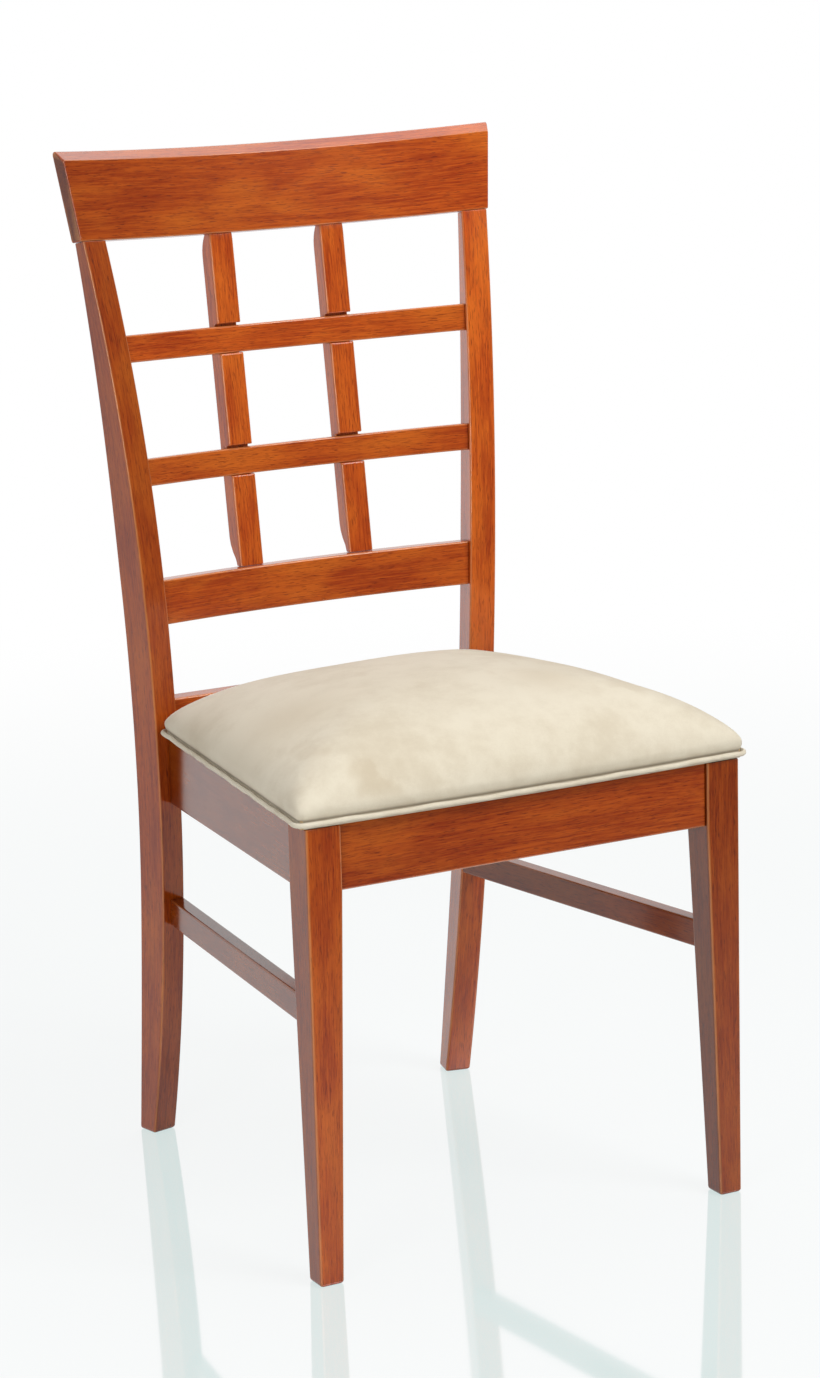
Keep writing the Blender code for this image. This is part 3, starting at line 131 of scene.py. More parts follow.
class Graph:
    """Node tree of one material or world."""

    def __init__(self, owner: Union[bpy.types.Material, bpy.types.World], output: str) -> None:
        """Take over a tree and start it with its output node."""
        owner.use_nodes = True
        self.tree = owner.node_tree
        self.tree.nodes.clear()
        self.output = self.tree.nodes.new(output)

    def node(self, kind: str, settings: dict, *inputs: object, out: Union[int, str] = 0,
             **named: object) -> Value:
        """Add one node.

        Args:
            kind: the node's type name.
            settings: its properties, set before its sockets.
            inputs: values or links of its first sockets, in order, with None to leave one.
            out: the output that is returned, by place or name.
            named: values or links of sockets by name, with underscores for spaces.

        Returns:
            The output as a value.
        """
        made = self.tree.nodes.new(kind)
        for name, setting in settings.items():
            setattr(made, name, setting)
        for socket, given in zip(made.inputs, inputs):
            self._feed(socket, given)
        for name, given in named.items():
            self._feed(made.inputs[name.replace("_", " ")], given)
        return Value(self, made.outputs[out])

    def _feed(self, socket: bpy.types.NodeSocket, given: object) -> None:
        """Link a value to a socket, or set the socket's own number or colour.

        Args:
            socket: the input to feed.
            given: a value, a plain number or colour, or None to leave it.
        """
        if isinstance(given, Value):
            self.tree.links.new(given.socket, socket)
        elif given is not None:
            socket.default_value = opaque(given) if socket.type == "RGBA" else given

    def mix(self, share: object, first: object, second: object, blend: str = "MIX") -> Value:
        """Mix of two colours by a share.

        Args:
            share: how much of the second colour there is.
            first: colour at a share of 0.
            second: colour at a share of 1.
            blend: blend type of the Mix node.

        Returns:
            The mixed colour.
        """
        settings = {"data_type": "RGBA", "blend_type": blend}
        unused = [None] * 5
        return self.node("ShaderNodeMix", settings, share, *unused, first, second, out=2)

    def object_place(self) -> Value:
        """Place on the piece in its own coordinates, in metres."""
        return self.node("ShaderNodeTexCoord", {}, out="Object")

    def attribute(self, name: str, out: str = "Fac") -> Value:
        """An attribute that the piece carries."""
        return self.node("ShaderNodeAttribute", {"attribute_name": name}, out=out)

    def scaled(self, vector: Value, scale: Sequence[float]) -> Value:
        """Vector times a scale on each axis."""
        return self.node("ShaderNodeVectorMath", {"operation": "MULTIPLY"}, vector, tuple(scale))

    def warped(self, vector: Value, push: Value, reach: Sequence[float]) -> Value:
        """Vector moved by a number times a reach on each axis."""
        return self.node("ShaderNodeVectorMath", {"operation": "MULTIPLY_ADD"}, push, tuple(reach), vector)

    def noise(self, vector: Value, scale: float = 1.0, detail: float = 2.0, roughness: float = 0.5) -> Value:
        """Noise from 0 to 1 at a scale."""
        return self.node("ShaderNodeTexNoise", {}, Vector=vector, Scale=scale, Detail=detail,
                         Roughness=roughness)

    def bump(self, height: Value, distance: float, strength: float = 1.0) -> Value:
        """Normal bent by a height times a distance in metres."""
        return self.node("ShaderNodeBump", {}, Strength=strength, Distance=distance, Height=height)

    def seen_directly(self) -> Value:
        """1 for rays from the camera and in gloss and glass, and 0 for the light that falls on things."""
        rays = [self.node("ShaderNodeLightPath", {}, out=name)
                for name in ("Is Camera Ray", "Is Glossy Ray", "Is Transmission Ray")]
        return rays[0].larger(rays[1]).larger(rays[2])

    def surface(self, shader: Value) -> None:
        """Put a shader on the output."""
        self.tree.links.new(shader.socket, self.output.inputs["Surface"])

    def principled(self, **sockets: object) -> None:
        """Put a Principled shader with these sockets on the output."""
        self.surface(self.node("ShaderNodeBsdfPrincipled", {}, **sockets))


def opaque(colour: object) -> object:
    """A colour of three numbers with an alpha of 1; anything else stays as it is."""
    return (*colour, 1.0) if isinstance(colour, tuple) and len(colour) == 3 else colour


def material_graph(name: str) -> tuple[bpy.types.Material, Graph]:
    """New material and its graph."""
    made = bpy.data.materials.new(name)
    return made, Graph(made, "ShaderNodeOutputMaterial")


# Finishes


@dataclass(frozen=True)
class LacqueredWood:
    """Stained wood under a glossy lacquer, with its figure on the `grain` attribute along each piece."""

    name: str = "lacquered_wood"
    deep: tuple = (0.300, 0.034, 0.004)
    stain: tuple = (0.520, 0.090, 0.008)
    glow: tuple = (0.650, 0.170, 0.016)
    pore: tuple = (0.095, 0.010, 0.002)
    # Lighter colour on the arrises: partly rubbed wear, partly a painted highlight.
    worn: tuple = (0.78, 0.32, 0.10)
    drift_scale: tuple = (5.0, 26.0, 26.0)
    drift_reach: tuple = (0.0, 0.010, 0.010)
    streak_scale: tuple = (24.0, 640.0, 640.0)
    band_scale: tuple = (5.0, 150.0, 150.0)
    cloud_scale: tuple = (11.0, 30.0, 30.0)
    pore_scale: tuple = (95.0, 1500.0, 1500.0)
    figure_ramp: tuple = (0.34, 0.62)
    glow_ramp: tuple = (0.42, 0.70)
    pore_ramp: tuple = (0.58, 0.68)
    glow_share: float = 0.45
    pore_share: float = 0.60
    grain_depth: float = 0.00008
    grain_strength: float = 0.10
    roughness: float = 0.13
    gloss_tint: tuple = (1.0, 0.90, 0.86)
    index: float = 1.52
    coat: float = 0.12
    coat_roughness: float = 0.06

    def material(self) -> bpy.types.Material:
        """Build the material: streaks, bands, clouds and pores in a stain that glows in places."""
        made, graph = material_graph(self.name)
        grain = graph.attribute("grain", "Vector")
        drift = graph.noise(graph.scaled(grain, self.drift_scale), detail=3.0)
        bent = graph.warped(grain, drift, self.drift_reach)
        streaks = graph.noise(graph.scaled(bent, self.streak_scale), detail=3.0, roughness=0.62)
        bands = graph.noise(graph.scaled(bent, self.band_scale), detail=2.0)
        pores = graph.noise(graph.scaled(bent, self.pore_scale), detail=1.0).ramp(*self.pore_ramp)
        clouds = graph.noise(graph.scaled(grain, self.cloud_scale), detail=3.0, roughness=0.55)
        figure = (0.55 * streaks + 0.20 * bands + 0.25 * clouds).ramp(*self.figure_ramp)
        glowing = (0.6 * clouds + 0.4 * drift).ramp(*self.glow_ramp)
        body = graph.mix(figure, self.deep, self.stain)
        body = graph.mix(glowing * self.glow_share, body, self.glow)
        body = graph.mix(pores * self.pore_share, body, self.pore)
        # The tone attribute multiplies in each piece's own tone together with painted light and shade.
        body = graph.mix(1.0, body, graph.attribute("tone"), "MULTIPLY")
        # Arrises lightened: partly rubbed wear, partly a painted highlight.
        body = graph.mix(graph.attribute("edge") * (0.25 + streaks * 0.4), body, self.worn)
        bump = graph.bump(streaks * 0.5 - pores * 0.7, self.grain_depth, self.grain_strength)
        gloss = self.roughness + streaks * 0.05 + pores * 0.06
        graph.principled(Base_Color=body, Roughness=gloss, Normal=bump, IOR=self.index,
                         Specular_Tint=self.gloss_tint, Coat_Weight=self.coat,
                         Coat_Roughness=self.coat_roughness)
        return made


@dataclass(frozen=True)
class BareWood:
    """Unfinished wood of the hidden pieces, with its grain on object coordinates."""

    name: str
    pale: tuple = (0.60, 0.42, 0.23)
    dark: tuple = (0.42, 0.26, 0.12)
    along: tuple = (9.0, 160.0, 160.0)
    figure_ramp: tuple = (0.35, 0.68)
    roughness: float = 0.62
    grain_depth: float = 0.0002

    def material(self) -> bpy.types.Material:
        """Build the material."""
        made, graph = material_graph(self.name)
        streaks = graph.noise(graph.scaled(graph.object_place(), self.along), detail=4.0, roughness=0.6)
        body = graph.mix(streaks.ramp(*self.figure_ramp), self.dark, self.pale)
        graph.principled(Base_Color=body, Roughness=self.roughness + streaks * 0.15,
                         Normal=graph.bump(streaks, self.grain_depth, 0.6))
        return made


@dataclass(frozen=True)
class Microsuede:
    """Short matt nap, brushed lighter and darker in patches, with faint stains and painted shade in the seam.
    """

    name: str = "microsuede"
    light: tuple = (0.790, 0.720, 0.580)
    shade: tuple = (0.670, 0.588, 0.450)
    stain: tuple = (0.540, 0.430, 0.285)
    # Near-black colour of the painted shade in the seam groove.
    dust: tuple = (0.230, 0.180, 0.115)
    patch_scale: float = 7.0
    brush_scale: float = 42.0
    nap_scale: float = 1300.0
    stain_scale: float = 16.0
    stain_reach: tuple = (0.02, 0.02, 0.0)
    nap_ramp: tuple = (0.36, 0.60)
    stain_ramp: tuple = (0.60, 0.72)
    stain_share: float = 0.30
    dust_share: float = 0.85
    nap_depth: float = 0.0005
    nap_strength: float = 0.45
    roughness: float = 0.95

    def material(self) -> bpy.types.Material:
        """Build the material."""
        made, graph = material_graph(self.name)
        place = graph.object_place()
        patches = graph.noise(place, self.patch_scale, 3.0, 0.55)
        brushed = graph.noise(place, self.brush_scale, 4.0, 0.65)
        nap = graph.noise(place, self.nap_scale, 2.0, 0.7)
        strayed = graph.warped(place, brushed, self.stain_reach)
        stains = graph.noise(strayed, self.stain_scale, 2.0, 0.5).ramp(*self.stain_ramp)
        spots = graph.attribute("spot") * (0.35 + 0.65 * brushed)
        tone = (0.50 * patches + 0.32 * brushed + 0.18 * nap).ramp(*self.nap_ramp)
        body = graph.mix(tone, self.shade, self.light)
        body = graph.mix((stains * self.stain_share).larger(spots), body, self.stain)
        # Painted shade: the seam groove and the piping's upper inner side are darkened.
        body = graph.mix(graph.attribute("crease") * self.dust_share, body, self.dust)
        bump = graph.bump(nap * 0.6 + brushed * 0.4, self.nap_depth, self.nap_strength)
        graph.principled(Base_Color=body, Roughness=self.roughness, Normal=bump, Sheen_Weight=0.25,
                         Sheen_Roughness=0.5, Specular_IOR_Level=0.15)
        return made


@dataclass(frozen=True)
class ZincSteel:
    """Zinc plated screws."""

    name: str = "zinc_steel"
    dull: tuple = (0.46, 0.46, 0.45)
    bright: tuple = (0.68, 0.68, 0.66)
    bloom_scale: float = 900.0
    roughness: float = 0.25

    def material(self) -> bpy.types.Material:
        """Build the material."""
        made, graph = material_graph(self.name)
        bloom = graph.noise(graph.object_place(), self.bloom_scale, 3.0, 0.6)
        body = graph.mix(bloom, self.dull, self.bright)
        graph.principled(Base_Color=body, Roughness=self.roughness + bloom * 0.2, Metallic=1.0)
        return made


@dataclass(frozen=True)
class SoftFilling:
    """Foam or thin bonded cloth: a matt colour broken by a fine pattern of cells or fibres."""

    name: str
    light: tuple
    dark: tuple
    scale: float
    cell_ramp: tuple = (0.35, 0.65)
    cell_depth: float = 0.0005
    roughness: float = 0.95

    def material(self) -> bpy.types.Material:
        """Build the material."""
        made, graph = material_graph(self.name)
        cells = graph.noise(graph.object_place(), self.scale, 2.0, 0.7)
        body = graph.mix(cells.ramp(*self.cell_ramp), self.dark, self.light)
        graph.principled(Base_Color=body, Roughness=self.roughness,
                         Normal=graph.bump(cells, self.cell_depth, 0.7))
        return made


# Sections and sweeps


def rounded_outline(corners: Sequence[tuple], radii: Sequence[float], steps: int = 4,
                    lead: float = 0.0006) -> tuple[Array, Array]:
    """Points round a convex outline with rounded corners.

    Each corner is an arc, c + r (sin((1 - s) t) n1 + sin(s t) n2) / sin t, where n1 and n2 are the normals
    of its two sides and t is the angle between them. One more point lies a lead along each side, which keeps
    the flats flat when they are shaded smooth.

    Args:
        corners: sharp corners in order.
        radii: radius at each corner.
        steps: straight runs in each arc.
        lead: how far past the arc the extra points lie.

    Returns:
        The points, and how far each lies on an arris, from 0 to 1.
    """
    corners = np.array(corners, float)
    points, worn = [], []
    befores, afters = np.roll(corners, 1, 0), np.roll(corners, -1, 0)
    for corner, before, after, radius in zip(corners, befores, afters, radii):
        back = (before - corner) / np.linalg.norm(before - corner)
        ahead = (after - corner) / np.linalg.norm(after - corner)
        opening = math.acos(np.clip(back @ ahead, -1, 1))
        centre = corner + (back + ahead) / np.linalg.norm(back + ahead) * radius / math.sin(opening / 2)
        start = -(ahead - (ahead @ back) * back) / math.sin(opening)
        end = -(back - (back @ ahead) * ahead) / math.sin(opening)
        turn = math.pi - opening
        share = np.linspace(0, 1, steps + 1)[:, None]
        spoke = (np.sin((1 - share) * turn) * start + np.sin(share * turn) * end) / math.sin(turn)
        arc = centre + radius * spoke
        points += [arc[0] + lead * back, *arc, arc[-1] + lead * ahead]
        worn += [0.0, *np.sin(math.pi * share[:, 0]), 0.0]
    return np.array(points), np.array(worn)


@dataclass
class Section:
    """Four-sided section with rounded arrises, placed by the limits of its two sizes."""

    radius: float = 0.0018
    share: Array = field(init=False)
    offset: Array = field(init=False)
    worn: Array = field(init=False)

    def __post_init__(self) -> None:
        """Work out how each point lies to the corner that it belongs to."""
        points, self.worn = rounded_outline([(0, 0), (1, 0), (1, 1), (0, 1)], [self.radius] * 4)
        self.share = np.round(points)
        self.offset = points - self.share

    def place(self, low_a: Number, high_a: Number, low_b: Number, high_b: Number,
              inset: Number) -> tuple[Array, Array]:
        """Both coordinates of every point: corner + offset, drawn in by an inset.

        Args:
            low_a, high_a: limits of the first size.
            low_b, high_b: limits of the second size.
            inset: how far every side is drawn in.

        Returns:
            First and second coordinates.
        """
        a, b = self.share.T
        return (low_a + a * (high_a - low_a) + self.offset[:, 0] + inset * (1 - 2 * a),
                low_b + b * (high_b - low_b) + self.offset[:, 1] + inset * (1 - 2 * b))


@dataclass(frozen=True)
class Row:
    """One row of a sweep: where it lies along the piece, and how far its sides are cut away there."""

    at: Union[float, Face]
    guess: float = 0.0
    onward: float = 0.0
    inset: float = 0.0
    front: float = 0.0
    back: float = 0.0


def meet(ring: Ring, columns: int, face: Face, start: float, step: float = 0.002, passes: int = 12,
         flat: float = 1e-14) -> Array:
    """Where each strand of a sweep meets a face, by the secant rule t' = t - f(t) dt / df.

    Args:
        ring: points of the section at given distances along.
        columns: number of strands.
        face: signed distance of points from the face.
        start: first guess of the distance.
        step: first step of the rule.
        passes: number of corrections.
        flat: smallest change that still gives a slope.

    Returns:
        One distance for each strand.
    """
    here = np.full(columns, float(start))
    ahead = here + step
    gap_here = face(ring(here))
    for _ in range(passes):
        gap_ahead = face(ring(ahead))
        change = gap_ahead - gap_here
        settled = np.abs(change) < flat
        move = np.where(settled, 0.0, gap_ahead * (ahead - here) / np.where(settled, 1.0, change))
        here, gap_here, ahead = ahead, gap_ahead, ahead - move
    return ahead


def eased(at: Union[float, Face], guess: float, way: int, radius: float, cut: str = "inset",
          steps: int = 3) -> list[Row]:
    """Rows of a rounded end: at a depth r - r sin t from the end the sides are cut by r - r cos t.

    Args:
        at: distance or face of the end.
        guess: where the search for the face starts.
        way: 1 where the piece lies at greater distances than the end, -1 where it lies at smaller ones.
        radius: radius of the rounding.
        cut: which side is cut: inset, front or back.
        steps: straight runs of the rounding.

    Returns:
        The rows from the end inwards, with one more before and after the rounding to keep the flats flat.
    """
    lead = radius / 3
    rows = [Row(at, guess, **{cut: radius + lead})]
    for turn in np.linspace(0, math.pi / 2, steps + 1):
        onward = way * radius * (1 - math.cos(turn))
        rows.append(Row(at, guess, onward, **{cut: radius * (1 - math.sin(turn))}))
    rows.append(Row(at, guess, way * (radius + lead)))
    return rows


def stations(start: float, end: float, count: int) -> list[Row]:
    """Plain rows at even distances."""
    return [Row(float(at)) for at in np.linspace(start, end, count)]


def flat_face(point: Sequence[float], normal: Sequence[float], offset: float = 0.0) -> Face:
    """Signed distance from a flat face: (p - point) . normal - offset.

    Args:
        point: any point of the face.
        normal: direction out of it, of any length.
        offset: how far outwards the face is moved.

    Returns:
        The distance as a function of points.
    """
    origin, direction = np.array(point, float), np.array(normal, float)
    direction /= np.linalg.norm(direction)
    return lambda points: (points - origin) @ direction - offset


def carried(place: Matrix, points: Array) -> Array:
    """Points of a placed frame in the chair's frame: M p + t."""
    matrix = np.array(place)
    return points @ matrix[:3, :3].T + matrix[:3, 3]


def raked_frame(y: float, z: float, rake: float, x: float = 0.0, turn: float = 0.0) -> Matrix:
    """Frame whose Z runs up a piece that leans back, and whose Y runs back through it."""
    return Matrix.Translation((x, y, z)) @ Matrix.Rotation(-rake, 4, "X") @ Matrix.Rotation(turn, 4, "Z")


def on_arc(place: Matrix, angle: Array, reach: Array, radius: float, up: Array) -> Array:
    """Points of an arc in the chair's frame: (reach sin a, reach cos a - radius, up) in a placed frame."""
    return carried(place, np.stack([reach * np.sin(angle), reach * np.cos(angle) - radius, up], -1))


def grid_faces(rows: int, columns: int) -> Array:
    """Quads between neighbouring rows of a grid whose columns close on themselves.

    Args:
        rows: number of rows.
        columns: points in each row.

    Returns:
        Four point numbers for each quad.
    """
    row, column = np.meshgrid(np.arange(rows - 1) * columns, np.arange(columns), indexing="ij")
    after = (column + 1) % columns
    corners = [row + column, row + after, row + columns + after, row + columns + column]
    return np.stack(corners, -1).reshape(-1, 4)


def signed_volume(mesh: bpy.types.Mesh) -> float:
    """Volume inside a closed mesh by the sum of a . (b x c) / 6, negative where its faces point inwards.

    Args:
        mesh: the closed mesh.

    Returns:
        The volume in cubic metres.
    """
    mesh.calc_loop_triangles()
    corners = np.empty(len(mesh.loop_triangles) * 3, np.int32)
    mesh.loop_triangles.foreach_get("vertices", corners)
    a, b, c = points_of(mesh)[corners.reshape(-1, 3)].transpose(1, 0, 2)
    return float(np.einsum("ij,ij->", a, np.cross(b, c)) / 6)


def points_of(mesh: bpy.types.Mesh) -> Array:
    """All points of a mesh."""
    points = np.empty(len(mesh.vertices) * 3)
    mesh.vertices.foreach_get("co", points)
    return points.reshape(-1, 3)


class Piece:
    """One finished piece: a closed mesh at the origin that stands for its CAD node."""

    def __init__(self, name: str, points: Array, faces: list, material: bpy.types.Material) -> None:
        """Make the mesh from points in the chair's frame, with its faces turned outwards.

        Args:
            name: the CAD node that the piece stands for.
            points: its points, in any grid shape.
            faces: point numbers of each face.
            material: its finish.
        """
        self.node = name
        mesh = bpy.data.meshes.new(f"{name}_finished")
        mesh.from_pydata((points.reshape(-1, 3) + STAND).tolist(), [], faces)
        mesh.update()
        if signed_volume(mesh) < 0:
            mesh.flip_normals()
        mesh.shade_smooth()
        mesh.set_sharp_from_angle(angle=CREASE)
        mesh.materials.append(material)
        self.object = bpy.data.objects.new(f"{name}_finished", mesh)
        bpy.context.scene.collection.objects.link(self.object)

    def mark(self, name: str, values: Array) -> None:
        """Store a number or a vector for every point, for the material to read.

        Args:
            name: the attribute's name.
            values: one number for each point, or one row of three.
        """
        vector = values.ndim > 2
        store = self.object.data.attributes.new(name, "FLOAT_VECTOR" if vector else "FLOAT", "POINT")
        store.data.foreach_set("vector" if vector else "value", values.astype(np.float32).ravel())

    def settle(self) -> None:
        """Ride on the chair and stand for the CAD node."""
        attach(self.object, BODY)
        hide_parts(self.node)
        log.info("%s: %d faces", self.object.name, len(self.object.data.polygons))


def place_in_log(name: str) -> Array:
    """Where in a log a piece was sawn from, so that no two have the same figure."""
    seed = sum((index + 1) * ord(letter) for index, letter in enumerate(name))
    return np.random.default_rng(seed).uniform(1.0, 9.0, 3)


@dataclass
class Member:
    """A wooden member: a section carried along a path, with rows where it is cut or eased.

    Its tone runs evenly from one end to the other, and is multiplied by `end_grain` on its ends and by a
    painted side shade on every side but the front, which is a skin `front_skin` deep. The tones are partly
    the wood's own and partly painted light and shade.
    """

    name: str
    ring: Ring
    rows: list
    across: Array
    deep: Array
    worn: Array
    mirror: int = 1
    tone: tuple = (1.0, 1.0)
    end_grain: float = 0.42
    front_skin: float = 0.0007
    side_stain: float = 1.0

    def strand_places(self, row: Row) -> Array:
        """Distance along of every point of a row.

        Args:
            row: a row of the sweep.

        Returns:
            One distance for each strand.
        """
        columns = len(self.worn)
        if isinstance(row.at, float):
            return np.full(columns, row.at + row.onward)
        met = meet(lambda along: self.ring(along, row.inset, row.front, row.back), columns, row.at, row.guess)
        return met + row.onward

    def build(self, material: bpy.types.Material) -> Piece:
        """Make the piece, and mark its grain, its arrises, which are rubbed and carry a painted highlight,
        and its tone, which is partly painted light and shade.

        Args:
            material: the lacquered wood.

        Returns:
            The piece, whose grain attribute is (distance along, place across, place through) in metres.
        """
        along = np.array([self.strand_places(row) for row in self.rows])
        grid = np.array([self.ring(places, row.inset, row.front, row.back)
                         for places, row in zip(along, self.rows)])
        columns = along.shape[1]
        faces = grid_faces(*along.shape).tolist()
        faces += [list(range(columns)), list(range(along.size - columns, along.size))]
        piece = Piece(self.name, grid * np.array([self.mirror, 1, 1]), faces, material)
        grain = np.stack(np.broadcast_arrays(along, self.across, self.deep), axis=-1)
        piece.mark("grain", grain + place_in_log(self.name))
        piece.mark("edge", np.broadcast_to(self.worn, along.shape))
        tone = np.interp(along, (along.min(), along.max()), self.tone)
        tone[[0, -1]] *= self.end_grain
        # Painted shade: every side but the front is darkened.
        tone[:, self.deep > self.front_skin] *= self.side_stain
        piece.mark("tone", tone)
        piece.settle()
        return piece


# The back


@dataclass
class RearPosts:
    """The two back posts: one sawn profile each, with a swept foot and a raked top, toed in and splayed."""

    foot_x: float = 0.1381
    lean: float = math.radians(2.502)
    toe_in: float = math.radians(12.5)
    width: float = 0.026
    waist_z: float = 0.48
    waist_y: float = 0.1284
    foot_sweep: float = 0.0587
    foot_power: float = 2.1
    top_z: float = 0.8866
    rake_sweep: float = 0.0481
    rake_power: float = 2.12
    depth: float = 0.0365
    foot_depth: float = 0.0235
    swell_height: float = 0.25
    swell_power: float = 2.2
    top_depth: float = 0.0150
    thinning_z: float = 0.56
    thinning_power: float = 1.6
    foot_easing: float = 0.003
    foot_run: float = 0.008
    top_run: float = 0.006
    # Tones of the left and right post, from foot to top: partly the wood's own, partly painted light and
    # shade.
    tones: tuple = ((0.90, 0.72), (0.88, 1.34))

    def front_y(self, z: Array) -> Array:
        """Front edge: y + sweep ((w - z) / w)^p below the waist w, y + rake ((z - w) / (top - w))^q above."""
        below = np.clip((self.waist_z - z) / self.waist_z, 0, None) ** self.foot_power
        above = np.clip((z - self.waist_z) / (self.top_z - self.waist_z), 0, None) ** self.rake_power
        return self.waist_y + self.foot_sweep * below + self.rake_sweep * above

    def depth_at(self, z: Array) -> Array:
        """Depth from front to back: full at the seat, and less by a power law at the foot and at the top."""
        foot = np.clip(1 - z / self.swell_height, 0, None) ** self.swell_power
        top = np.clip((z - self.thinning_z) / (self.top_z - self.thinning_z), 0, None) ** self.thinning_power
        return self.depth - (self.depth - self.foot_depth) * foot - (self.depth - self.top_depth) * top

    def point(self, z: Array, across: Array, back: Array) -> Array:
        """Point of the right post, measured in from its outer face and back from its front face.

        Args:
            z: height.
            across: distance in from the outer face.
            back: distance back from the front face.

        Returns:
            The points.
        """
        y = self.front_y(z)
        x = self.foot_x + math.tan(self.lean) * z + math.tan(self.toe_in) * y
        sine, cosine = math.sin(self.toe_in), math.cos(self.toe_in)
        parts = (x - across * cosine + back * sine, y + across * sine + back * cosine, z)
        return np.stack(np.broadcast_arrays(*parts), axis=-1)

    def inner_face(self, side: int, offset: float = 0.0) -> Face:
        """Distance out of a post's inner face."""
        x = self.foot_x - self.width / math.cos(self.toe_in)
        return flat_face((side * x, 0, 0), (-side, math.tan(self.toe_in), math.tan(self.lean)), offset)

    def front_face(self, offset: float = 0.0) -> Face:
        """Distance in front of the right post's curved front face.

        Args:
            offset: how far forwards the face is moved.

        Returns:
            The distance as a function of points.
        """
        direction = np.array([math.sin(self.toe_in), math.cos(self.toe_in)])

        def distance(points: Array) -> Array:
            """Plan distance from the outer front corner at each height."""
            corner = self.point(points[..., 2], np.zeros(1), np.zeros(1))
            return -((points - corner)[..., :2] @ direction) - offset

        return distance

    def build(self, side: Side, crest_bottom: Face, material: bpy.types.Material) -> Piece:
        """Make one post, from the floor to the crest rail.

        Args:
            side: the side of the chair.
            crest_bottom: the crest rail's bottom face.
            material: the lacquered wood.

        Returns:
            The post.
        """
        section = Section()

        def ring(z: Array, inset: float = 0.0, front: float = 0.0, back: float = 0.0) -> Array:
            """Section at a height."""
            across, deep = section.place(0.0, self.width, 0.0, self.depth_at(z), inset)
            return self.point(z, across, deep)

        rows = eased(0.0, 0.0, 1, self.foot_easing, steps=4)
        rows += stations(self.foot_run, self.top_z - self.top_run, 90)
        rows += eased(crest_bottom, self.top_z, -1, SAWN_EASING, steps=1)[::-1]
        across, deep = section.place(0.0, self.width, 0.0, self.depth, 0.0)
        member = Member(f"rear_post_{side.label}", ring, rows, across, deep, section.worn, side.value,
                        self.tones[side is Side.RIGHT])
        return member.build(material)


@dataclass
class CrestRail:
    """The crest rail: a deep board on an arc, leaning back, with its top bevelled up to its back edge."""

    bottom_z: float = 0.8866
    end_y: float = 0.1815
    gauge_x: float = 0.200
    rake: float = math.radians(11.5)
    radius: float = 0.77
    height: float = 0.0755
    top_rise: float = 0.0139
    thickness: float = 0.0145
    dip: float = 0.001
    bottom_half: float = 0.2177
    top_half: float = 0.2275
    end_angle: float = math.radians(18)
    arrises: tuple = (0.0016, 0.0016, 0.0030, 0.0012)
    end_easing: float = 0.0012
    end_run: float = 0.010
    # Tone from the left end to the right, lighter at the right: partly the wood's own, partly painted light.
    tone: tuple = (0.80, 1.20)

    @property
    def place(self) -> Matrix:
        """Frame of the rail: its origin is the middle of its bottom front edge."""
        sag = self.radius - math.sqrt(self.radius**2 - self.gauge_x**2)
        y, z = self.end_y + sag * math.cos(self.rake), self.bottom_z - sag * math.sin(self.rake)
        return raked_frame(y, z, self.rake)

    def front_y(self, x: float) -> float:
        """Front of the rail at its bottom edge."""
        arc = math.sqrt(self.radius**2 - x**2) - math.sqrt(self.radius**2 - self.gauge_x**2)
        return self.end_y + arc * math.cos(self.rake)

    def bottom(self, offset: float = 0.0) -> Face:
        """Distance below the rail's bottom face."""
        place = self.place
        return flat_face(place.translation, -place.col[2].xyz, offset)

    def end(self, side: int) -> Face:
        """Distance past one end, which slants out towards the top.

        Args:
            side: 1 for the right end and -1 for the left.

        Returns:
            The distance as a function of points.
        """
        angle = math.asin(self.bottom_half / self.radius)
        corner = Vector((side * self.bottom_half, self.radius * (math.cos(angle) - 1), 0))
        normal = Vector((side, -math.tan(self.end_angle), -(self.top_half - self.bottom_half) / self.height))
        return flat_face(self.place @ corner, self.place.to_3x3() @ normal)

    def build(self, material: bpy.types.Material) -> Piece:
        """Make the rail: at an angle a along its arc, a point d deep reaches out to R + d from the centre.

        Args:
            material: the lacquered wood.

        Returns:
            The rail, cut off at its two slanted ends.
        """
        place = self.place
        slope = self.top_rise / self.thickness
        sharp = [(0, 0), (self.thickness, 0), (self.thickness, self.height + self.top_rise), (0, self.height)]
        outline, worn = rounded_outline(sharp, self.arrises, steps=5)
        upper = np.where(outline[:, 1] > self.height / 2, 1.0, 0.0)
        middle = np.array([self.thickness / 2, self.height / 2])

        def ring(along: Array, inset: float = 0.0, front: float = 0.0, back: float = 0.0) -> Array:
            """Section at a distance along the arc."""
            inward = np.sign(middle - outline) * inset
            inward[:, 1] -= upper * inset * slope / 2
            deep, up = (outline + inward).T
            angle = along / self.radius
            reach = self.radius + deep
            dip = self.dip * upper * (1 - (reach * np.sin(angle) / self.top_half) ** 2)
            return on_arc(place, angle, reach, self.radius, up - dip)

        last = self.bottom_half - self.end_run
        rows = eased(self.end(-1), -self.bottom_half, 1, self.end_easing)
        rows += stations(-last, last, 61)
        rows += eased(self.end(1), self.bottom_half, -1, self.end_easing)[::-1]
        member = Member("top_rail", ring, rows, outline[:, 1], outline[:, 0], worn, tone=self.tone)
        return member.build(material)


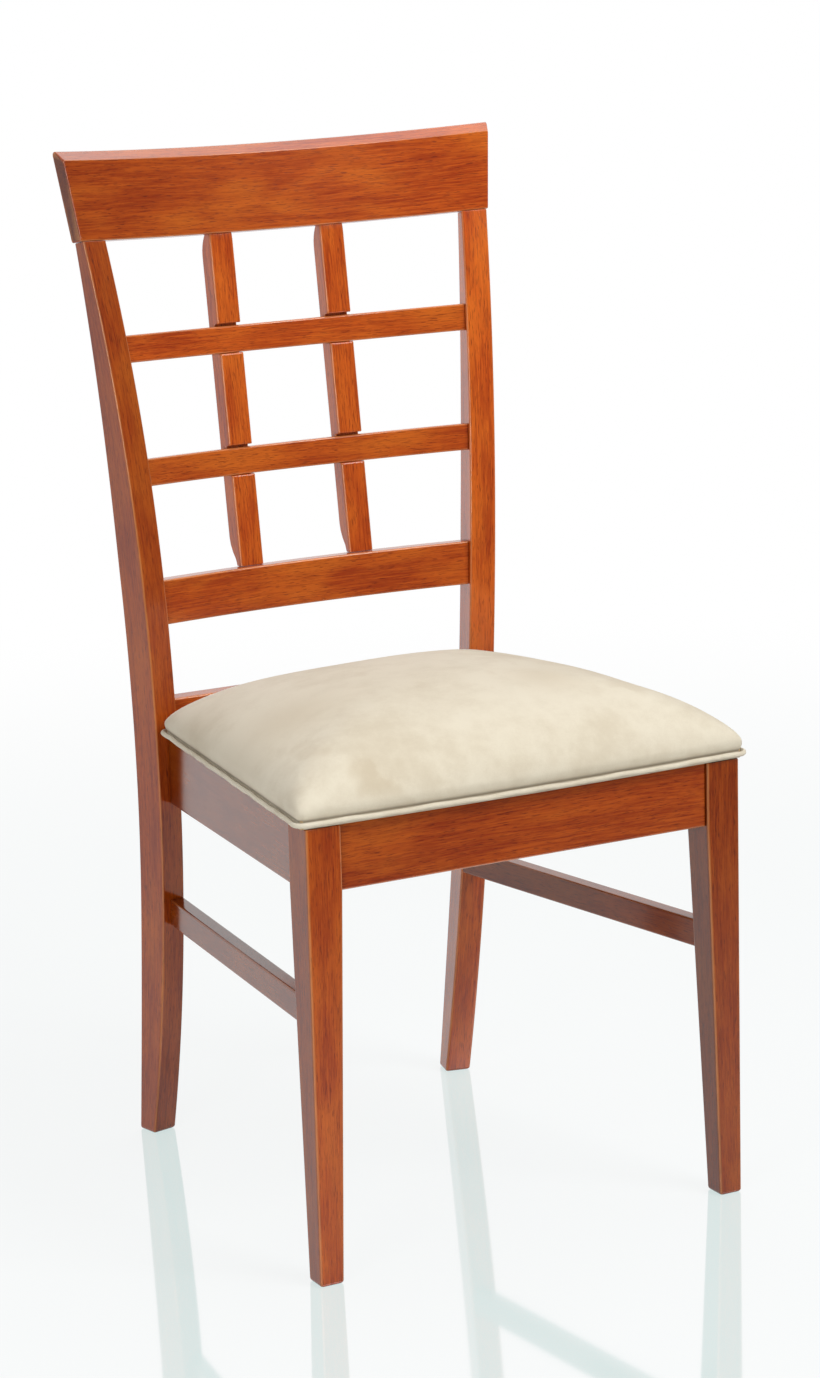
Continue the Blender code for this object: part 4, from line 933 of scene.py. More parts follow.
@dataclass
class Slat:
    """One upright slat: raked, turned a little to the middle, and half lapped over the lattice rails."""

    side: Side
    crest: CrestRail
    x: float = 0.0595
    foot_y: float = 0.165
    foot_z: float = 0.5673
    head_setback: float = 0.0031
    turn: float = math.radians(2.5)
    width: float = 0.0253
    depth: float = 0.020
    end_depth: float = 0.0075
    end_run: float = 0.026
    lap: float = 0.0085
    lap_relief: float = 0.0024
    arris: float = 0.0020
    easing: float = 0.0016
    end_easing: float = 0.0005
    head_fall: float = 0.0016
    head_run: float = 0.013
    # Tone from foot to head: partly the wood's own, partly painted light.
    tone: tuple = (1.12, 1.20)

    @property
    def rake(self) -> float:
        """Lean of the slat, from its foot to just behind the crest rail's front."""
        head_y = self.crest.front_y(self.x) + self.head_setback
        return math.atan((head_y - self.foot_y) / (self.crest.bottom_z - self.foot_z))

    def front_y(self, z: float) -> float:
        """Front of the slats at a height."""
        return self.foot_y + (z - self.foot_z) * math.tan(self.rake)

    @property
    def place(self) -> Matrix:
        """Frame of the slat: its origin lies on its front face at its foot."""
        sign = self.side.value
        return raked_frame(self.foot_y, self.foot_z, self.rake, sign * self.x, -sign * self.turn)

    def side_face(self, which: int) -> Face:
        """Distance past one of the slat's sides, with the gap of the lap joint."""
        normal = self.place.to_3x3() @ Vector((which, 0, 0))
        return flat_face(self.place.translation, normal, self.width / 2 + FIT_GAP)

    def build(self, rails: Sequence["BackRail"], foot: Face, material: bpy.types.Material) -> Piece:
        """Make the slat.

        Args:
            rails: the lattice rails that it laps over, lowest first.
            foot: the top face of the lower back rail.
            material: the lacquered wood.

        Returns:
            The slat, whose front is cut back over each rail.
        """
        place, section = self.place, Section(self.arris)
        length = (self.crest.bottom_z - self.foot_z) / math.cos(self.rake)

        def ring(up: Array, inset: float = 0.0, front: float = 0.0, back: float = 0.0) -> Array:
            """Section at a distance up, thinned from behind near both ends: depth - loss (1 - d / run)^2."""
            nearest = np.minimum(np.abs(up), np.abs(length - up))
            thinned = np.clip(1 - nearest / self.end_run, 0, 1) ** 2
            rear = self.depth - (self.depth - self.end_depth) * thinned
            head = self.head_fall * np.clip(1 - (length - up) / self.head_run, 0, 1) ** 2
            half = self.width / 2 - head / 2
            across, deep = section.place(-half, half, front + head, rear, inset)
            return carried(place, np.stack(np.broadcast_arrays(across, deep, up), axis=-1))

        rows = eased(foot, 0.0, 1, self.end_easing, steps=1)
        stop, lap = CUT_RUN, self.lap + FIT_GAP / 2
        for rail in rails:
            middle = (place.inverted() @ rail.place @ Vector((self.side.value * self.x, 0, 0))).z
            low, high = middle - rail.height / 2 - FIT_GAP, middle + rail.height / 2 + self.lap_relief
            rows += stations(stop, low - CUT_RUN, 12)
            rows += eased(low, 0.0, -1, self.easing, "front")[::-1]
            rows += [Row(low, front=lap), Row(high, front=lap)]
            rows += eased(high, 0.0, 1, self.easing, "front")
            stop = high + CUT_RUN
        rows += stations(stop, length - CUT_RUN, 22)
        rows += eased(self.crest.bottom(FIT_GAP), length, -1, self.end_easing, steps=1)[::-1]
        across, deep = section.place(0.0, self.width, 0.0, self.depth, 0.0)
        member = Member(f"slat_{self.side.label}", ring, rows, across, deep, section.worn, tone=self.tone)
        return member.build(material)


@dataclass
class BackRail:
    """A back rail sawn on an arc through a point behind each post's inner corner and through the slats."""

    name: str
    posts: RearPosts
    slats: tuple
    top: float
    height: float
    thickness: float
    rake: float
    ahead_of_slat: float
    setback: float = 0.005
    lapped: bool = False
    tone: tuple = (1.0, 1.0)
    radius: float = field(init=False)
    half_length: float = field(init=False)
    place: Matrix = field(init=False)

    def __post_init__(self) -> None:
        """Find the arc: its centre lies at g - c behind the end chord, where c = (g^2 - e^2 + s^2) / 2g."""
        posts, slat = self.posts, self.slats[0]
        middle = self.top - self.height * math.cos(self.rake) / 2
        end_x, end_y = posts.point(np.array(middle), np.array(posts.width), np.array(self.setback))[:2]
        gain = (slat.front_y(middle) - self.ahead_of_slat - end_y) * math.cos(self.rake)
        centre = (gain**2 - end_x**2 + slat.x**2) / (2 * gain)
        self.radius = math.hypot(gain - centre, slat.x)
        sag = centre + self.radius
        self.half_length = self.radius * math.asin(end_x / self.radius)
        y, z = end_y + sag * math.cos(self.rake), middle - sag * math.sin(self.rake)
        self.place = raked_frame(y, z, self.rake)

    def top_face(self, offset: float = 0.0) -> Face:
        """Distance above the rail's top face."""
        up = self.place.col[2].xyz
        return flat_face(self.place.translation + up * self.height / 2, up, offset)

    def notch(self, slat: Slat) -> list[Row]:
        """Rows of the notch behind one slat.

        Args:
            slat: the slat that is lapped there.

        Returns:
            Four rows, from left to right.
        """
        depth = self.thickness - (slat.lap - FIT_GAP / 2 + self.ahead_of_slat)
        centre, half = slat.side.value * slat.x, slat.width / 2
        near, far = (slat.side_face(-1), centre - half), (slat.side_face(1), centre + half)
        return [Row(*near), Row(*near, back=depth), Row(*far, back=depth), Row(*far)]

    def build(self, material: bpy.types.Material) -> Piece:
        """Make the rail, with a notch behind each slat where it is half lapped.

        Args:
            material: the lacquered wood.

        Returns:
            The rail, cut to the posts' inner faces.
        """
        section = Section()

        def ring(along: Array, inset: float = 0.0, front: float = 0.0, back: float = 0.0) -> Array:
            """Section at a distance along the arc."""
            deep, up = section.place(front, self.thickness - back, -self.height / 2, self.height / 2, inset)
            return on_arc(self.place, along / self.radius, self.radius + deep, self.radius, up)

        end, stop = self.half_length, END_RUN - self.half_length
        rows = eased(self.posts.inner_face(-1, FIT_GAP), -end, 1, SAWN_EASING, steps=1)
        for slat in self.slats if self.lapped else ():
            centre, half = slat.side.value * slat.x, slat.width / 2
            rows += stations(stop, centre - half - CUT_RUN, 14) + self.notch(slat)
            stop = centre + half + CUT_RUN
        rows += stations(stop, end - END_RUN, 14 if self.lapped else 30)
        rows += eased(self.posts.inner_face(1, FIT_GAP), end, -1, SAWN_EASING, steps=1)[::-1]
        deep, up = section.place(0.0, self.thickness, 0.0, self.height, 0.0)
        return Member(self.name, ring, rows, up, deep, section.worn, tone=self.tone).build(material)


@dataclass
class LatticeBack:
    """The whole back: posts, crest rail, two lattice rails, lower rail and two slats."""

    posts: RearPosts = field(default_factory=RearPosts)
    crest: CrestRail = field(default_factory=CrestRail)

    def build(self, material: bpy.types.Material) -> None:
        """Make every piece of the back.

        Args:
            material: the lacquered wood.
        """
        slats = tuple(Slat(side, self.crest) for side in Side)
        lattice = dict(posts=self.posts, slats=slats, height=0.026, thickness=0.015, rake=slats[0].rake,
                       ahead_of_slat=-0.001, lapped=True)
        # The rails' tones are partly the wood's own and partly painted light and shade.
        middle = BackRail("lattice_rail_middle", top=0.68151, tone=(0.98, 1.06), **lattice)
        upper = BackRail("lattice_rail_upper", top=0.79748, tone=(1.10, 1.14), **lattice)
        lower = BackRail("lower_back_rail", self.posts, slats, top=0.5655, height=0.0428, thickness=0.018,
                         rake=math.radians(4), ahead_of_slat=0.008)
        for rail in (lower, middle, upper):
            rail.build(material)
        for slat in slats:
            slat.build((middle, upper), lower.top_face(FIT_GAP), material)
        self.crest.build(material)
        for side in Side:
            self.posts.build(side, self.crest.bottom(FIT_GAP), material)


# Front legs and seat frame


@dataclass
class FrontLegs:
    """The front legs: square at the aprons, and tapered on their inner and back faces to the foot."""

    outer_x: float = 0.2218
    front_y: float = LEG_FRONT_Y
    width: float = 0.0342
    depth: float = 0.0363
    foot_width: float = 0.0232
    foot_depth: float = 0.0234
    taper_z: float = 0.359
    arris: float = 0.0022
    foot_easing: float = 0.003
    top_easing: float = 0.0006
    long_run: float = 0.010
    top_run: float = 0.005
    # Tones of the left and right leg, the right much darker: partly the wood's own, partly painted shade.
    tones: tuple = ((1.02, 0.90), (0.70, 0.64))
    # Painted shade on the legs' sides and backs.
    side_stain: float = 0.58

    def depth_at(self, z: Array) -> Array:
        """Depth from front to back: foot + (full - foot) min(z / top of the taper, 1)."""
        return self.foot_depth + (self.depth - self.foot_depth) * np.clip(z / self.taper_z, 0, 1)

    def width_at(self, z: Array) -> Array:
        """Width across, by the same rule as the depth."""
        return self.foot_width + (self.width - self.foot_width) * np.clip(z / self.taper_z, 0, 1)

    def back_face(self, offset: float = 0.0) -> Face:
        """Distance behind the tapered back face."""
        return lambda points: points[..., 1] - self.front_y - self.depth_at(points[..., 2]) - offset

    def build(self, side: Side, material: bpy.types.Material) -> Piece:
        """Make one leg.

        Args:
            side: the side of the chair.
            material: the lacquered wood.

        Returns:
            The leg.
        """
        section = Section(self.arris)

        def ring(z: Array, inset: float = 0.0, front: float = 0.0, back: float = 0.0) -> Array:
            """Section at a height."""
            inward, deep = section.place(0.0, self.width_at(z), 0.0, self.depth_at(z), inset)
            return np.stack([self.outer_x - inward, self.front_y + deep, z], axis=-1)

        rows = eased(0.0, 0.0, 1, self.foot_easing, steps=4)
        rows += stations(self.long_run, self.taper_z, 24)
        rows += stations(self.taper_z + self.long_run, FRAME_TOP - self.top_run, 5)
        rows += eased(FRAME_TOP, 0.0, -1, self.top_easing, steps=1)[::-1]
        inward, deep = section.place(0.0, self.width, 0.0, self.depth, 0.0)
        member = Member(f"front_leg_{side.label}", ring, rows, inward, deep, section.worn, side.value,
                        self.tones[side is Side.RIGHT], side_stain=self.side_stain)
        return member.build(material)


@dataclass
class CrossApron:
    """A straight apron across the chair, cut to what its ends meet."""

    name: str
    front_y: float
    bottom: float
    top: float
    ends: Callable[[int], Face]
    reach: float
    thickness: float = 0.020
    tone: tuple = (1.0, 1.0)

    def build(self, material: bpy.types.Material) -> Piece:
        """Make the apron.

        Args:
            material: the lacquered wood.

        Returns:
            The apron.
        """
        section = Section()

        def ring(x: Array, inset: float = 0.0, front: float = 0.0, back: float = 0.0) -> Array:
            """Section at a distance across."""
            back_y = self.front_y + self.thickness
            deep, up = section.place(self.front_y, back_y, self.bottom, self.top, inset)
            return np.stack([x, deep, up], axis=-1)

        rows = eased(self.ends(-1), -self.reach, 1, SAWN_EASING, steps=1)
        rows += stations(END_RUN - self.reach, self.reach - END_RUN, 24)
        rows += eased(self.ends(1), self.reach, -1, SAWN_EASING, steps=1)[::-1]
        deep, up = section.place(0.0, self.thickness, self.bottom, self.top, 0.0)
        return Member(self.name, ring, rows, up, deep, section.worn, tone=self.tone).build(material)


@dataclass
class SideMember:
    """A straight member from a front leg to a rear post, given by the line of its outer face in plan."""

    name: str
    legs: FrontLegs
    posts: RearPosts
    level: float
    leg_inset: float
    post_inset: float
    thickness: float
    front_top: float
    rear_top: float
    front_bottom: float
    rear_bottom: float
    post_gap: float = FIT_GAP
    rear_run: float = 0.016
    # Painted shade: the side aprons and stretchers are darkened to about half, where the seat shades them.
    tone: tuple = (0.48, 0.48)
    # Share of the arris lightening, rubbed wear and painted highlight, kept low on these members.
    wear: float = 0.3

    def build(self, side: Side, material: bpy.types.Material) -> Piece:
        """Make the member: a point i inwards lies at front + run along + i inward.

        Args:
            side: the side of the chair.
            material: the lacquered wood.

        Returns:
            The member, cut to the leg's back face and the post's front face.
        """
        front = np.array([self.legs.outer_x - self.leg_inset, self.legs.front_y + self.legs.depth])
        rear = self.posts.point(np.array(self.level), np.array(self.post_inset), np.array(0.0))[:2]
        along = (rear - front) / np.linalg.norm(rear - front)
        section = Section()

        def ring(y: Array, inset: float = 0.0, front_cut: float = 0.0, back_cut: float = 0.0) -> Array:
            """Section at a distance back."""
            share = (y - front[1]) / (rear[1] - front[1])
            low = self.front_bottom + (self.rear_bottom - self.front_bottom) * share
            high = self.front_top + (self.rear_top - self.front_top) * share
            inner, up = section.place(0.0, self.thickness, low, high, inset)
            run = (y - front[1]) / along[1]
            plan = front[:, None] + along[:, None] * run + np.array([[-along[1]], [along[0]]]) * inner
            return np.stack([plan[0], plan[1], up], axis=-1)

        rows = eased(self.legs.back_face(FIT_GAP), float(front[1]), 1, SAWN_EASING, steps=1)
        rows += stations(front[1] + END_RUN, rear[1] - self.rear_run, 24)
        rows += eased(self.posts.front_face(self.post_gap), float(rear[1]), -1, SAWN_EASING, steps=1)[::-1]
        inner, up = section.place(0.0, self.thickness, 0.0, self.front_top - self.front_bottom, 0.0)
        member = Member(f"{self.name}_{side.label}", ring, rows, up, inner, section.worn * self.wear,
                        side.value, self.tone)
        return member.build(material)


@dataclass
class SeatFrame:
    """Front legs, four aprons and two side stretchers."""

    posts: RearPosts
    legs: FrontLegs = field(default_factory=FrontLegs)

    def build(self, material: bpy.types.Material) -> None:
        """Make every piece of the seat frame.

        Args:
            material: the lacquered wood.
        """
        legs, posts = self.legs, self.posts
        reach = legs.outer_x - legs.width
        # The front apron's tone is partly the wood's own and partly painted shade.
        front = CrossApron("front_apron", front_y=legs.front_y + 0.004, bottom=0.359, top=FRAME_TOP,
                           ends=lambda side: flat_face((side * reach, 0, 0), (-side, 0, 0), FIT_GAP),
                           reach=reach, tone=(0.86, 0.92))
        front.build(material)
        rear = CrossApron("rear_apron", front_y=posts.waist_y + 0.0146, bottom=0.366, top=0.449,
                          ends=lambda side: posts.inner_face(side, FIT_GAP), reach=0.160)
        rear.build(material)
        apron = SideMember("side_apron", legs, posts, level=0.384, leg_inset=0.0022, post_inset=0.013,
                           thickness=0.018, front_top=FRAME_TOP, rear_top=FRAME_TOP, front_bottom=0.362,
                           rear_bottom=0.349, post_gap=2 * FIT_GAP)
        rail = SideMember("side_stretcher", legs, posts, level=0.2378, leg_inset=0.0074, post_inset=0.009,
                          thickness=0.015, front_top=0.2595, rear_top=0.251, front_bottom=0.2331,
                          rear_bottom=0.2246)
        for side in Side:
            legs.build(side, material)
            apron.build(side, material)
            rail.build(side, material)


# Seat pad


@dataclass
class PadEdge:
    """Plan of the pad: straight sides, rounded corners, and a front bowed out by b sin(pi s)."""

    front_y: float = -0.2612
    rear_y: float = 0.1249
    front_half: float = 0.2326
    rear_half: float = 0.1839
    corner: float = 0.011
    bow: float = 0.005
    corner_points: int = 9
    front_points: int = 66
    base: Array = field(init=False)
    square: Array = field(init=False)
    length: Array = field(init=False)
    corner_lengths: Array = field(init=False)

    def __post_init__(self) -> None:
        """Work out the edge once: its points, the way out at each, and the length up to each."""
        corners = np.array([(self.front_half, self.front_y), (self.rear_half, self.rear_y),
                            (-self.rear_half, self.rear_y), (-self.front_half, self.front_y)])
        base, square = [], []
        for before, corner, after in zip(np.roll(corners, 1, 0), corners, np.roll(corners, -1, 0)):
            back, ahead = (before - corner), (after - corner)
            back, ahead = back / np.linalg.norm(back), ahead / np.linalg.norm(ahead)
            opening = math.acos(back @ ahead)
            middle = (back + ahead) / np.linalg.norm(back + ahead)
            centre = corner + middle * self.corner / math.sin(opening / 2)
            start = -(ahead - (ahead @ back) * back) / math.sin(opening)
            end = -(back - (back @ ahead) * ahead) / math.sin(opening)
            share = np.linspace(0, 1, self.corner_points)[:, None]
            turn = (1 - share) * start + share * end
            turn /= np.linalg.norm(turn, axis=1)[:, None]
            base.append(centre + self.corner * turn)
            square.append(turn)
        front = np.linspace(0, 1, self.front_points)[1:-1, None]
        bowed = self.bow * np.sin(math.pi * front) * square[3][-1]
        run = (1 - front) * base[3][-1] + front * base[0][0] + bowed
        self.base = np.concatenate([*base, run, base[0][:1]])
        self.square = np.concatenate([*square, np.tile(square[3][-1], (len(run), 1)), square[0][:1]])
        self.length = np.concatenate([[0], np.cumsum(np.linalg.norm(np.diff(self.base, axis=0), axis=1))])
        middles = self.length[self.corner_points // 2 + self.corner_points * np.arange(4)]
        self.corner_lengths = np.append(middles, middles[0] + self.length[-1])

    def at(self, place: Array, offset: Union[Array, float]) -> Array:
        """Points of the edge moved out by an offset. A whole `place` is a corner, from the front right on.

        Args:
            place: where on the edge, from 0 to 4.
            offset: how far outwards, in metres.

        Returns:
            The points in plan.
        """
        along = np.interp(place, np.arange(5), self.corner_lengths) % self.length[-1]
        plan = [np.interp(along, self.length, self.base[:, axis]) for axis in (0, 1)]
        out = [np.interp(along, self.length, self.square[:, axis]) for axis in (0, 1)]
        return np.stack([plan[0] + offset * out[0], plan[1] + offset * out[1]], axis=-1)


@dataclass
class SeatPad:
    """The microsuede pad: a crowned cover that is drawn in to its seam, over piping round its lower edge."""

    edge: PadEdge = field(default_factory=PadEdge)
    soft_edge: PadEdge = field(default_factory=lambda: PadEdge(corner=0.032))
    unevenness: float = 0.0009
    uneven_from: float = 0.03
    board_top: float = FRAME_TOP + FIT_GAP + 0.012
    # Darker, warmer spots on the cover at listed places: x, y, reach and share of each.
    spots: tuple = ((-0.165, -0.10, 0.055, 0.55), (-0.19, 0.03, 0.05, 0.35), (0.075, -0.16, 0.030, 0.45),
                    (0.18, -0.10, 0.060, 0.60), (0.15, 0.06, 0.05, 0.30), (-0.05, -0.10, 0.09, 0.20))
    welt: float = 0.0034
    cord: float = 0.0024
    cord_points: int = 460
    cord_sides: int = 14
    # Width of the band of painted shade at the seam.
    crease_width: float = 0.0006
    foam_inset: float = 0.0024
    foam_share: float = 0.99
    draw_in: float = 0.0042
    tuck_share: float = 0.125
    bulge: float = 0.004
    rear_bulge: float = 0.0028
    rear_fade: float = 0.060
    swell_share: float = 0.25
    front_rise: float = 0.0831
    rear_rise: float = 0.0705
    crown_share: float = 0.46
    rounding: float = 0.9
    plan_power: float = 2.3
    rise_power: float = 1.83
    soft_share: float = 0.55
    cells: int = 84
    cloth_cells: int = 28
    slack: float = 0.0015
    frames: int = 20
    pressure: float = 4.0
    cap: float = 0.005

    @property
    def base_z(self) -> float:
        """Height of the pad's lower edge."""
        return FRAME_TOP + 2 * FIT_GAP

    @property
    def seam_z(self) -> float:
        """Height of the seam above the piping."""
        return self.base_z + 2 * self.welt

    def crown_turns(self, cells: int) -> Array:
        """Turn of each ring of cells from the crown to the edge, spaced evenly along the profile.

        Args:
            cells: cells from the crown to the edge.

        Returns:
            One turn for each ring, a quarter turn at the crown.
        """
        turn = np.linspace(0, math.pi / 2, 2000)
        reach, rise = self.profile(turn)
        steps = np.hypot(np.diff(reach * self.edge.rear_half), np.diff(rise * self.front_rise))
        length = np.concatenate([[0], np.cumsum(steps)])
        return np.interp(np.linspace(length[-1], 0, cells + 1), length, turn)

    def profile(self, turn: Array) -> tuple[Array, Array]:
        """Share of the reach from the crown and share of the rise: cos(t)^(2/p) and sin(t)^(2/q)."""
        reach = np.clip(np.cos(turn), 0, None) ** (2 / self.plan_power)
        return reach, np.sin(turn) ** (2 / self.rise_power)

    def crown(self, cells: int, inset: float = 0.0) -> Array:
        """Square grid of points over the pad, whose square rings are the pad's rings.

        A ring is the edge drawn towards an oval round the crown by 1 - reach. Its corners grow softer as it
        rises, and it swells a little above the seam.

        Args:
            cells: cells from the crown to the edge.
            inset: how far inside the slack cover the points lie.

        Returns:
            The points, as (2 cells + 1, 2 cells + 1, 3).
        """
        numbers = np.arange(-cells, cells + 1)
        u, v = np.meshgrid(numbers, numbers, indexing="ij")
        ring = np.maximum(np.abs(u), np.abs(v))
        safe = np.maximum(ring, 1)
        sides = [(v / safe + 1) / 2, 1 + (1 - u / safe) / 2, 2 + (1 - v / safe) / 2]
        place = np.select([u == ring, v == ring, u == -ring], sides, 3 + (u / safe + 1) / 2)
        reach, rise = self.profile(self.crown_turns(cells)[ring])
        reach = np.where(ring == 0, 0.0, reach)
        edge, depth = self.edge, self.edge.rear_y - self.edge.front_y
        centre = np.array([0.0, edge.front_y + self.crown_share * depth])
        oval_size = np.array([(edge.front_half + edge.rear_half) / 2, depth / 2])
        tuck = self.draw_in * np.clip(1 - rise / self.tuck_share, 0, None) ** 1.3
        soften = np.clip(rise / self.soft_share, 0, 1)[..., None]
        soften = soften**2 * (3 - 2 * soften)
        inset = inset + self.slack
        sharp, soft = edge.at(place, -inset - tuck), self.soft_edge.at(place, -inset - tuck)
        spoke = sharp + soften * (soft - sharp) - centre
        outward = spoke / np.linalg.norm(spoke, axis=-1, keepdims=True)
        oval = outward / np.linalg.norm(outward / oval_size, axis=-1, keepdims=True)
        rounded = ((1 - reach) * self.rounding)[..., None]
        plan = centre + reach[..., None] * (spoke + rounded * (oval - spoke))
        fade = np.clip((edge.rear_y - plan[..., 1]) / self.rear_fade, 0, 1)
        bulge = self.rear_bulge + fade * (self.bulge - self.rear_bulge)
        swell = bulge * np.sin(np.clip(rise / self.swell_share, 0, 1) * math.pi / 2) * reach**3
        plan = plan + swell[..., None] * outward
        back = (plan[..., 1] - edge.front_y) / depth
        height = self.front_rise + back * (self.rear_rise - self.front_rise) - inset
        return np.concatenate([plan, (self.seam_z + height * rise)[..., None]], axis=-1)

    def closed(self, crown: Array) -> tuple[Array, list]:
        """Close a crown with its skirt below the seam and its bottom.

        The rim runs round the grid's outer points from the front right corner on, as the edge does.

        Args:
            crown: the grid of points.

        Returns:
            The points, the crown's first, and the faces.
        """
        side = len(crown)
        number = np.arange(side * side).reshape(side, side)
        rim = np.concatenate([number[-1, :-1], number[:0:-1, -1], number[0, :0:-1], number[:-1, 0]])
        place = np.arange(len(rim)) * 4 / len(rim)
        low = [np.column_stack([self.edge.at(place, -self.draw_in - self.slack), np.full(len(rim), z)])
               for z in np.linspace(self.seam_z, self.base_z, 5)[1:]]
        top = np.stack([number[:-1, :-1], number[1:, :-1], number[1:, 1:], number[:-1, 1:]], -1)
        loops = np.concatenate([rim, side * side + np.arange(len(low) * len(rim))])
        skirt = loops[grid_faces(len(low) + 1, len(rim))][:, ::-1]
        faces = top.reshape(-1, 4).tolist() + skirt.tolist() + [loops[-len(rim):].tolist()]
        return np.concatenate([crown.reshape(-1, 3), *low]), faces

    def waves(self, x: Array, y: Array) -> Array:
        """Slight waviness of a stuffed pad, from about -1 to 1."""
        crossed = 0.5 * np.sin(21 * x + 1.3) * np.sin(17 * y + 0.4)
        return crossed + 0.3 * np.sin(43 * x - 11 * y) + 0.2 * np.sin(61 * y + 2)

    def soiling(self, points: Array) -> Array:
        """Sum of the spots at each point, s exp(-d^2 / r^2)."""
        return sum(share * np.exp(-((points[:, 0] - x) ** 2 + (points[:, 1] - y) ** 2) / reach**2)
                   for x, y, reach, share in self.spots)

    def build(self, material: bpy.types.Material, foam: bpy.types.Material) -> None:
        """Make the cover, its piping and its filling.

        Args:
            material: the microsuede.
            foam: finish of the filling.
        """
        crown = self.crown(self.cells)
        crown = crown + self.swelling(material)
        x, y, z = crown.transpose(2, 0, 1)
        rising = np.clip((z - self.seam_z) / self.uneven_from, 0, 1)
        crown[..., 2] += self.unevenness * rising * self.waves(x, y)
        points, faces = self.closed(crown)
        cover = Piece("seat_cover", points, faces, material)
        # Painted shade in the groove where the cover tucks in at the seam.
        cover.mark("crease", np.exp(-np.abs(points[:, 2] - self.seam_z) / self.crease_width))
        cover.mark("spot", self.soiling(points))
        cover.settle()
        self.piping(material)
        self.filling(foam)

    def filling(self, foam: bpy.types.Material) -> None:
        """Make the foam slab, which follows the slack cover from inside and stands on the board.

        Args:
            foam: finish of the filling.
        """
        points, faces = self.closed(self.crown(self.cloth_cells, self.foam_inset))
        points[:, :2] *= self.foam_share
        points[:, 2] = np.maximum(points[:, 2], self.board_top + FIT_GAP)
        Piece("seat_foam", points, faces, foam).settle()

    def swelling(self, material: bpy.types.Material) -> Array:
        """Find how the crown moves as cloth under pressure, held at its seam.

        A coarse cover swells and is thrown away, and its movement is spread over the fine grid.

        Args:
            material: the finish that the coarse cover wears meanwhile.

        Returns:
            The movement of each point of the fine crown, capped.
        """
        start = self.crown(self.cloth_cells)
        side = len(start)
        cloth = Piece("swelling", *self.closed(start), material).object
        number = np.arange(side * side).reshape(side, side)
        inner = set(number[1:-1, 1:-1].ravel().tolist())
        pinned = cloth.vertex_groups.new(name="pinned")
        pinned.add([index for index in range(len(cloth.data.vertices)) if index not in inner], 1.0, "REPLACE")
        swell = cloth.modifiers.new("swell", "CLOTH")
        settings = dict(quality=6, mass=0.3, tension_stiffness=18, compression_stiffness=14,
                        shear_stiffness=8, bending_stiffness=1.2, use_pressure=True,
                        uniform_pressure_force=self.pressure, vertex_group_mass=pinned.name)
        for name, value in settings.items():
            setattr(swell.settings, name, value)
        swell.settings.effector_weights.gravity = 0.0
        for at in range(1, self.frames + 1):
            bpy.context.scene.frame_set(at)
        swollen = cloth.evaluated_get(bpy.context.evaluated_depsgraph_get())
        move = points_of(swollen.to_mesh())[:side * side].reshape(start.shape) - STAND - start
        swollen.to_mesh_clear()
        bpy.data.objects.remove(cloth)
        bpy.context.scene.frame_set(1)
        far = np.linalg.norm(move, axis=-1, keepdims=True)
        most, mean = far.max() * 1000, far.mean() * 1000
        log.info("seat_cover: cloth moved %.1f mm at most and %.1f mm on average", most, mean)
        move *= np.minimum(1, self.cap / np.maximum(far, 1e-9))
        return self.spread(move)

    def spread(self, move: Array) -> Array:
        """Movement of a coarse grid on the fine grid: the weighted mean of its four neighbours.

        Args:
            move: movement of each point of the coarse grid.

        Returns:
            Movement of each point of the fine grid.
        """
        place = np.linspace(0, len(move) - 1, 2 * self.cells + 1)
        low = np.minimum(place.astype(int), len(move) - 2)
        share = (place - low)[:, None, None]
        rows = move[low] * (1 - share) + move[low + 1] * share
        share = share.reshape(1, -1, 1)
        return rows[:, low] * (1 - share) + rows[:, low + 1] * share

    def piping(self, material: bpy.types.Material) -> None:
        """Make the piping: a circle carried round the edge, which wanders by a fraction of a millimetre.

        Args:
            material: the microsuede.
        """
        place = np.linspace(0, 4, self.cord_points, endpoint=False)
        turn = np.linspace(0, 2 * math.pi, self.cord_sides, endpoint=False)[:, None]
        along = place * 100
        radius = self.cord * (1 - 0.02 * (1 + np.sin(along * 0.95)))
        sway = 0.0003 * np.sin(along * 0.31) - 0.0002 * np.sin(along * 0.74 + 1)
        middle = -self.draw_in + FIT_GAP + self.cord
        plan = np.array([self.edge.at(place, middle + radius * np.cos(angle)) for angle in turn])
        height = self.seam_z - self.cord + radius * np.sin(turn) + sway + 0.0001
        points = np.concatenate([plan, height[..., None]], axis=-1).transpose(1, 0, 2)
        count, columns = points.shape[:2]
        faces = grid_faces(count + 1, columns) % (count * columns)
        cord = Piece("seat_welt", points, faces.tolist(), material)
        # Painted shade on the piping's upper inner side, which faces the seam groove.
        seam_side_shade = np.clip(np.cos(turn - math.radians(120)), 0, 1).T ** 8
        cord.mark("crease", np.broadcast_to(seam_side_shade, (count, columns)))
        cord.settle()


# Hidden pieces


@dataclass(frozen=True)
class HiddenPieces:
    """Blocks, dowels, screws, board and dust cover, which keep their CAD meshes and take a finish."""

    def finishes(self) -> dict[str, bpy.types.Material]:
        """Finish of each kind of piece, by the first words of its name."""
        bare, zinc = BareWood("bare_wood").material(), ZincSteel().material()
        board = BareWood("plywood", (0.62, 0.47, 0.28), (0.45, 0.30, 0.15), (30.0, 30.0, 700.0)).material()
        cloth = SoftFilling("dust_cloth", (0.045, 0.045, 0.048), (0.018, 0.018, 0.020), 900.0).material()
        return {
            "corner_block": bare,
            "dowel": bare,
            "seat_board": board,
            "dust_cover": cloth,
            "block_screw": zinc,
            "seat_screw": zinc,
        }

    def dress(self) -> None:
        """Put the finishes on the CAD pieces."""
        for start, material in self.finishes().items():
            nodes = [node for name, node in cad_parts.items() if name.startswith(start)]
            for node in nodes:
                for slot in node.material_slots:
                    slot.material = material
            log.info("%s: %d pieces", start, len(nodes))


# Studio


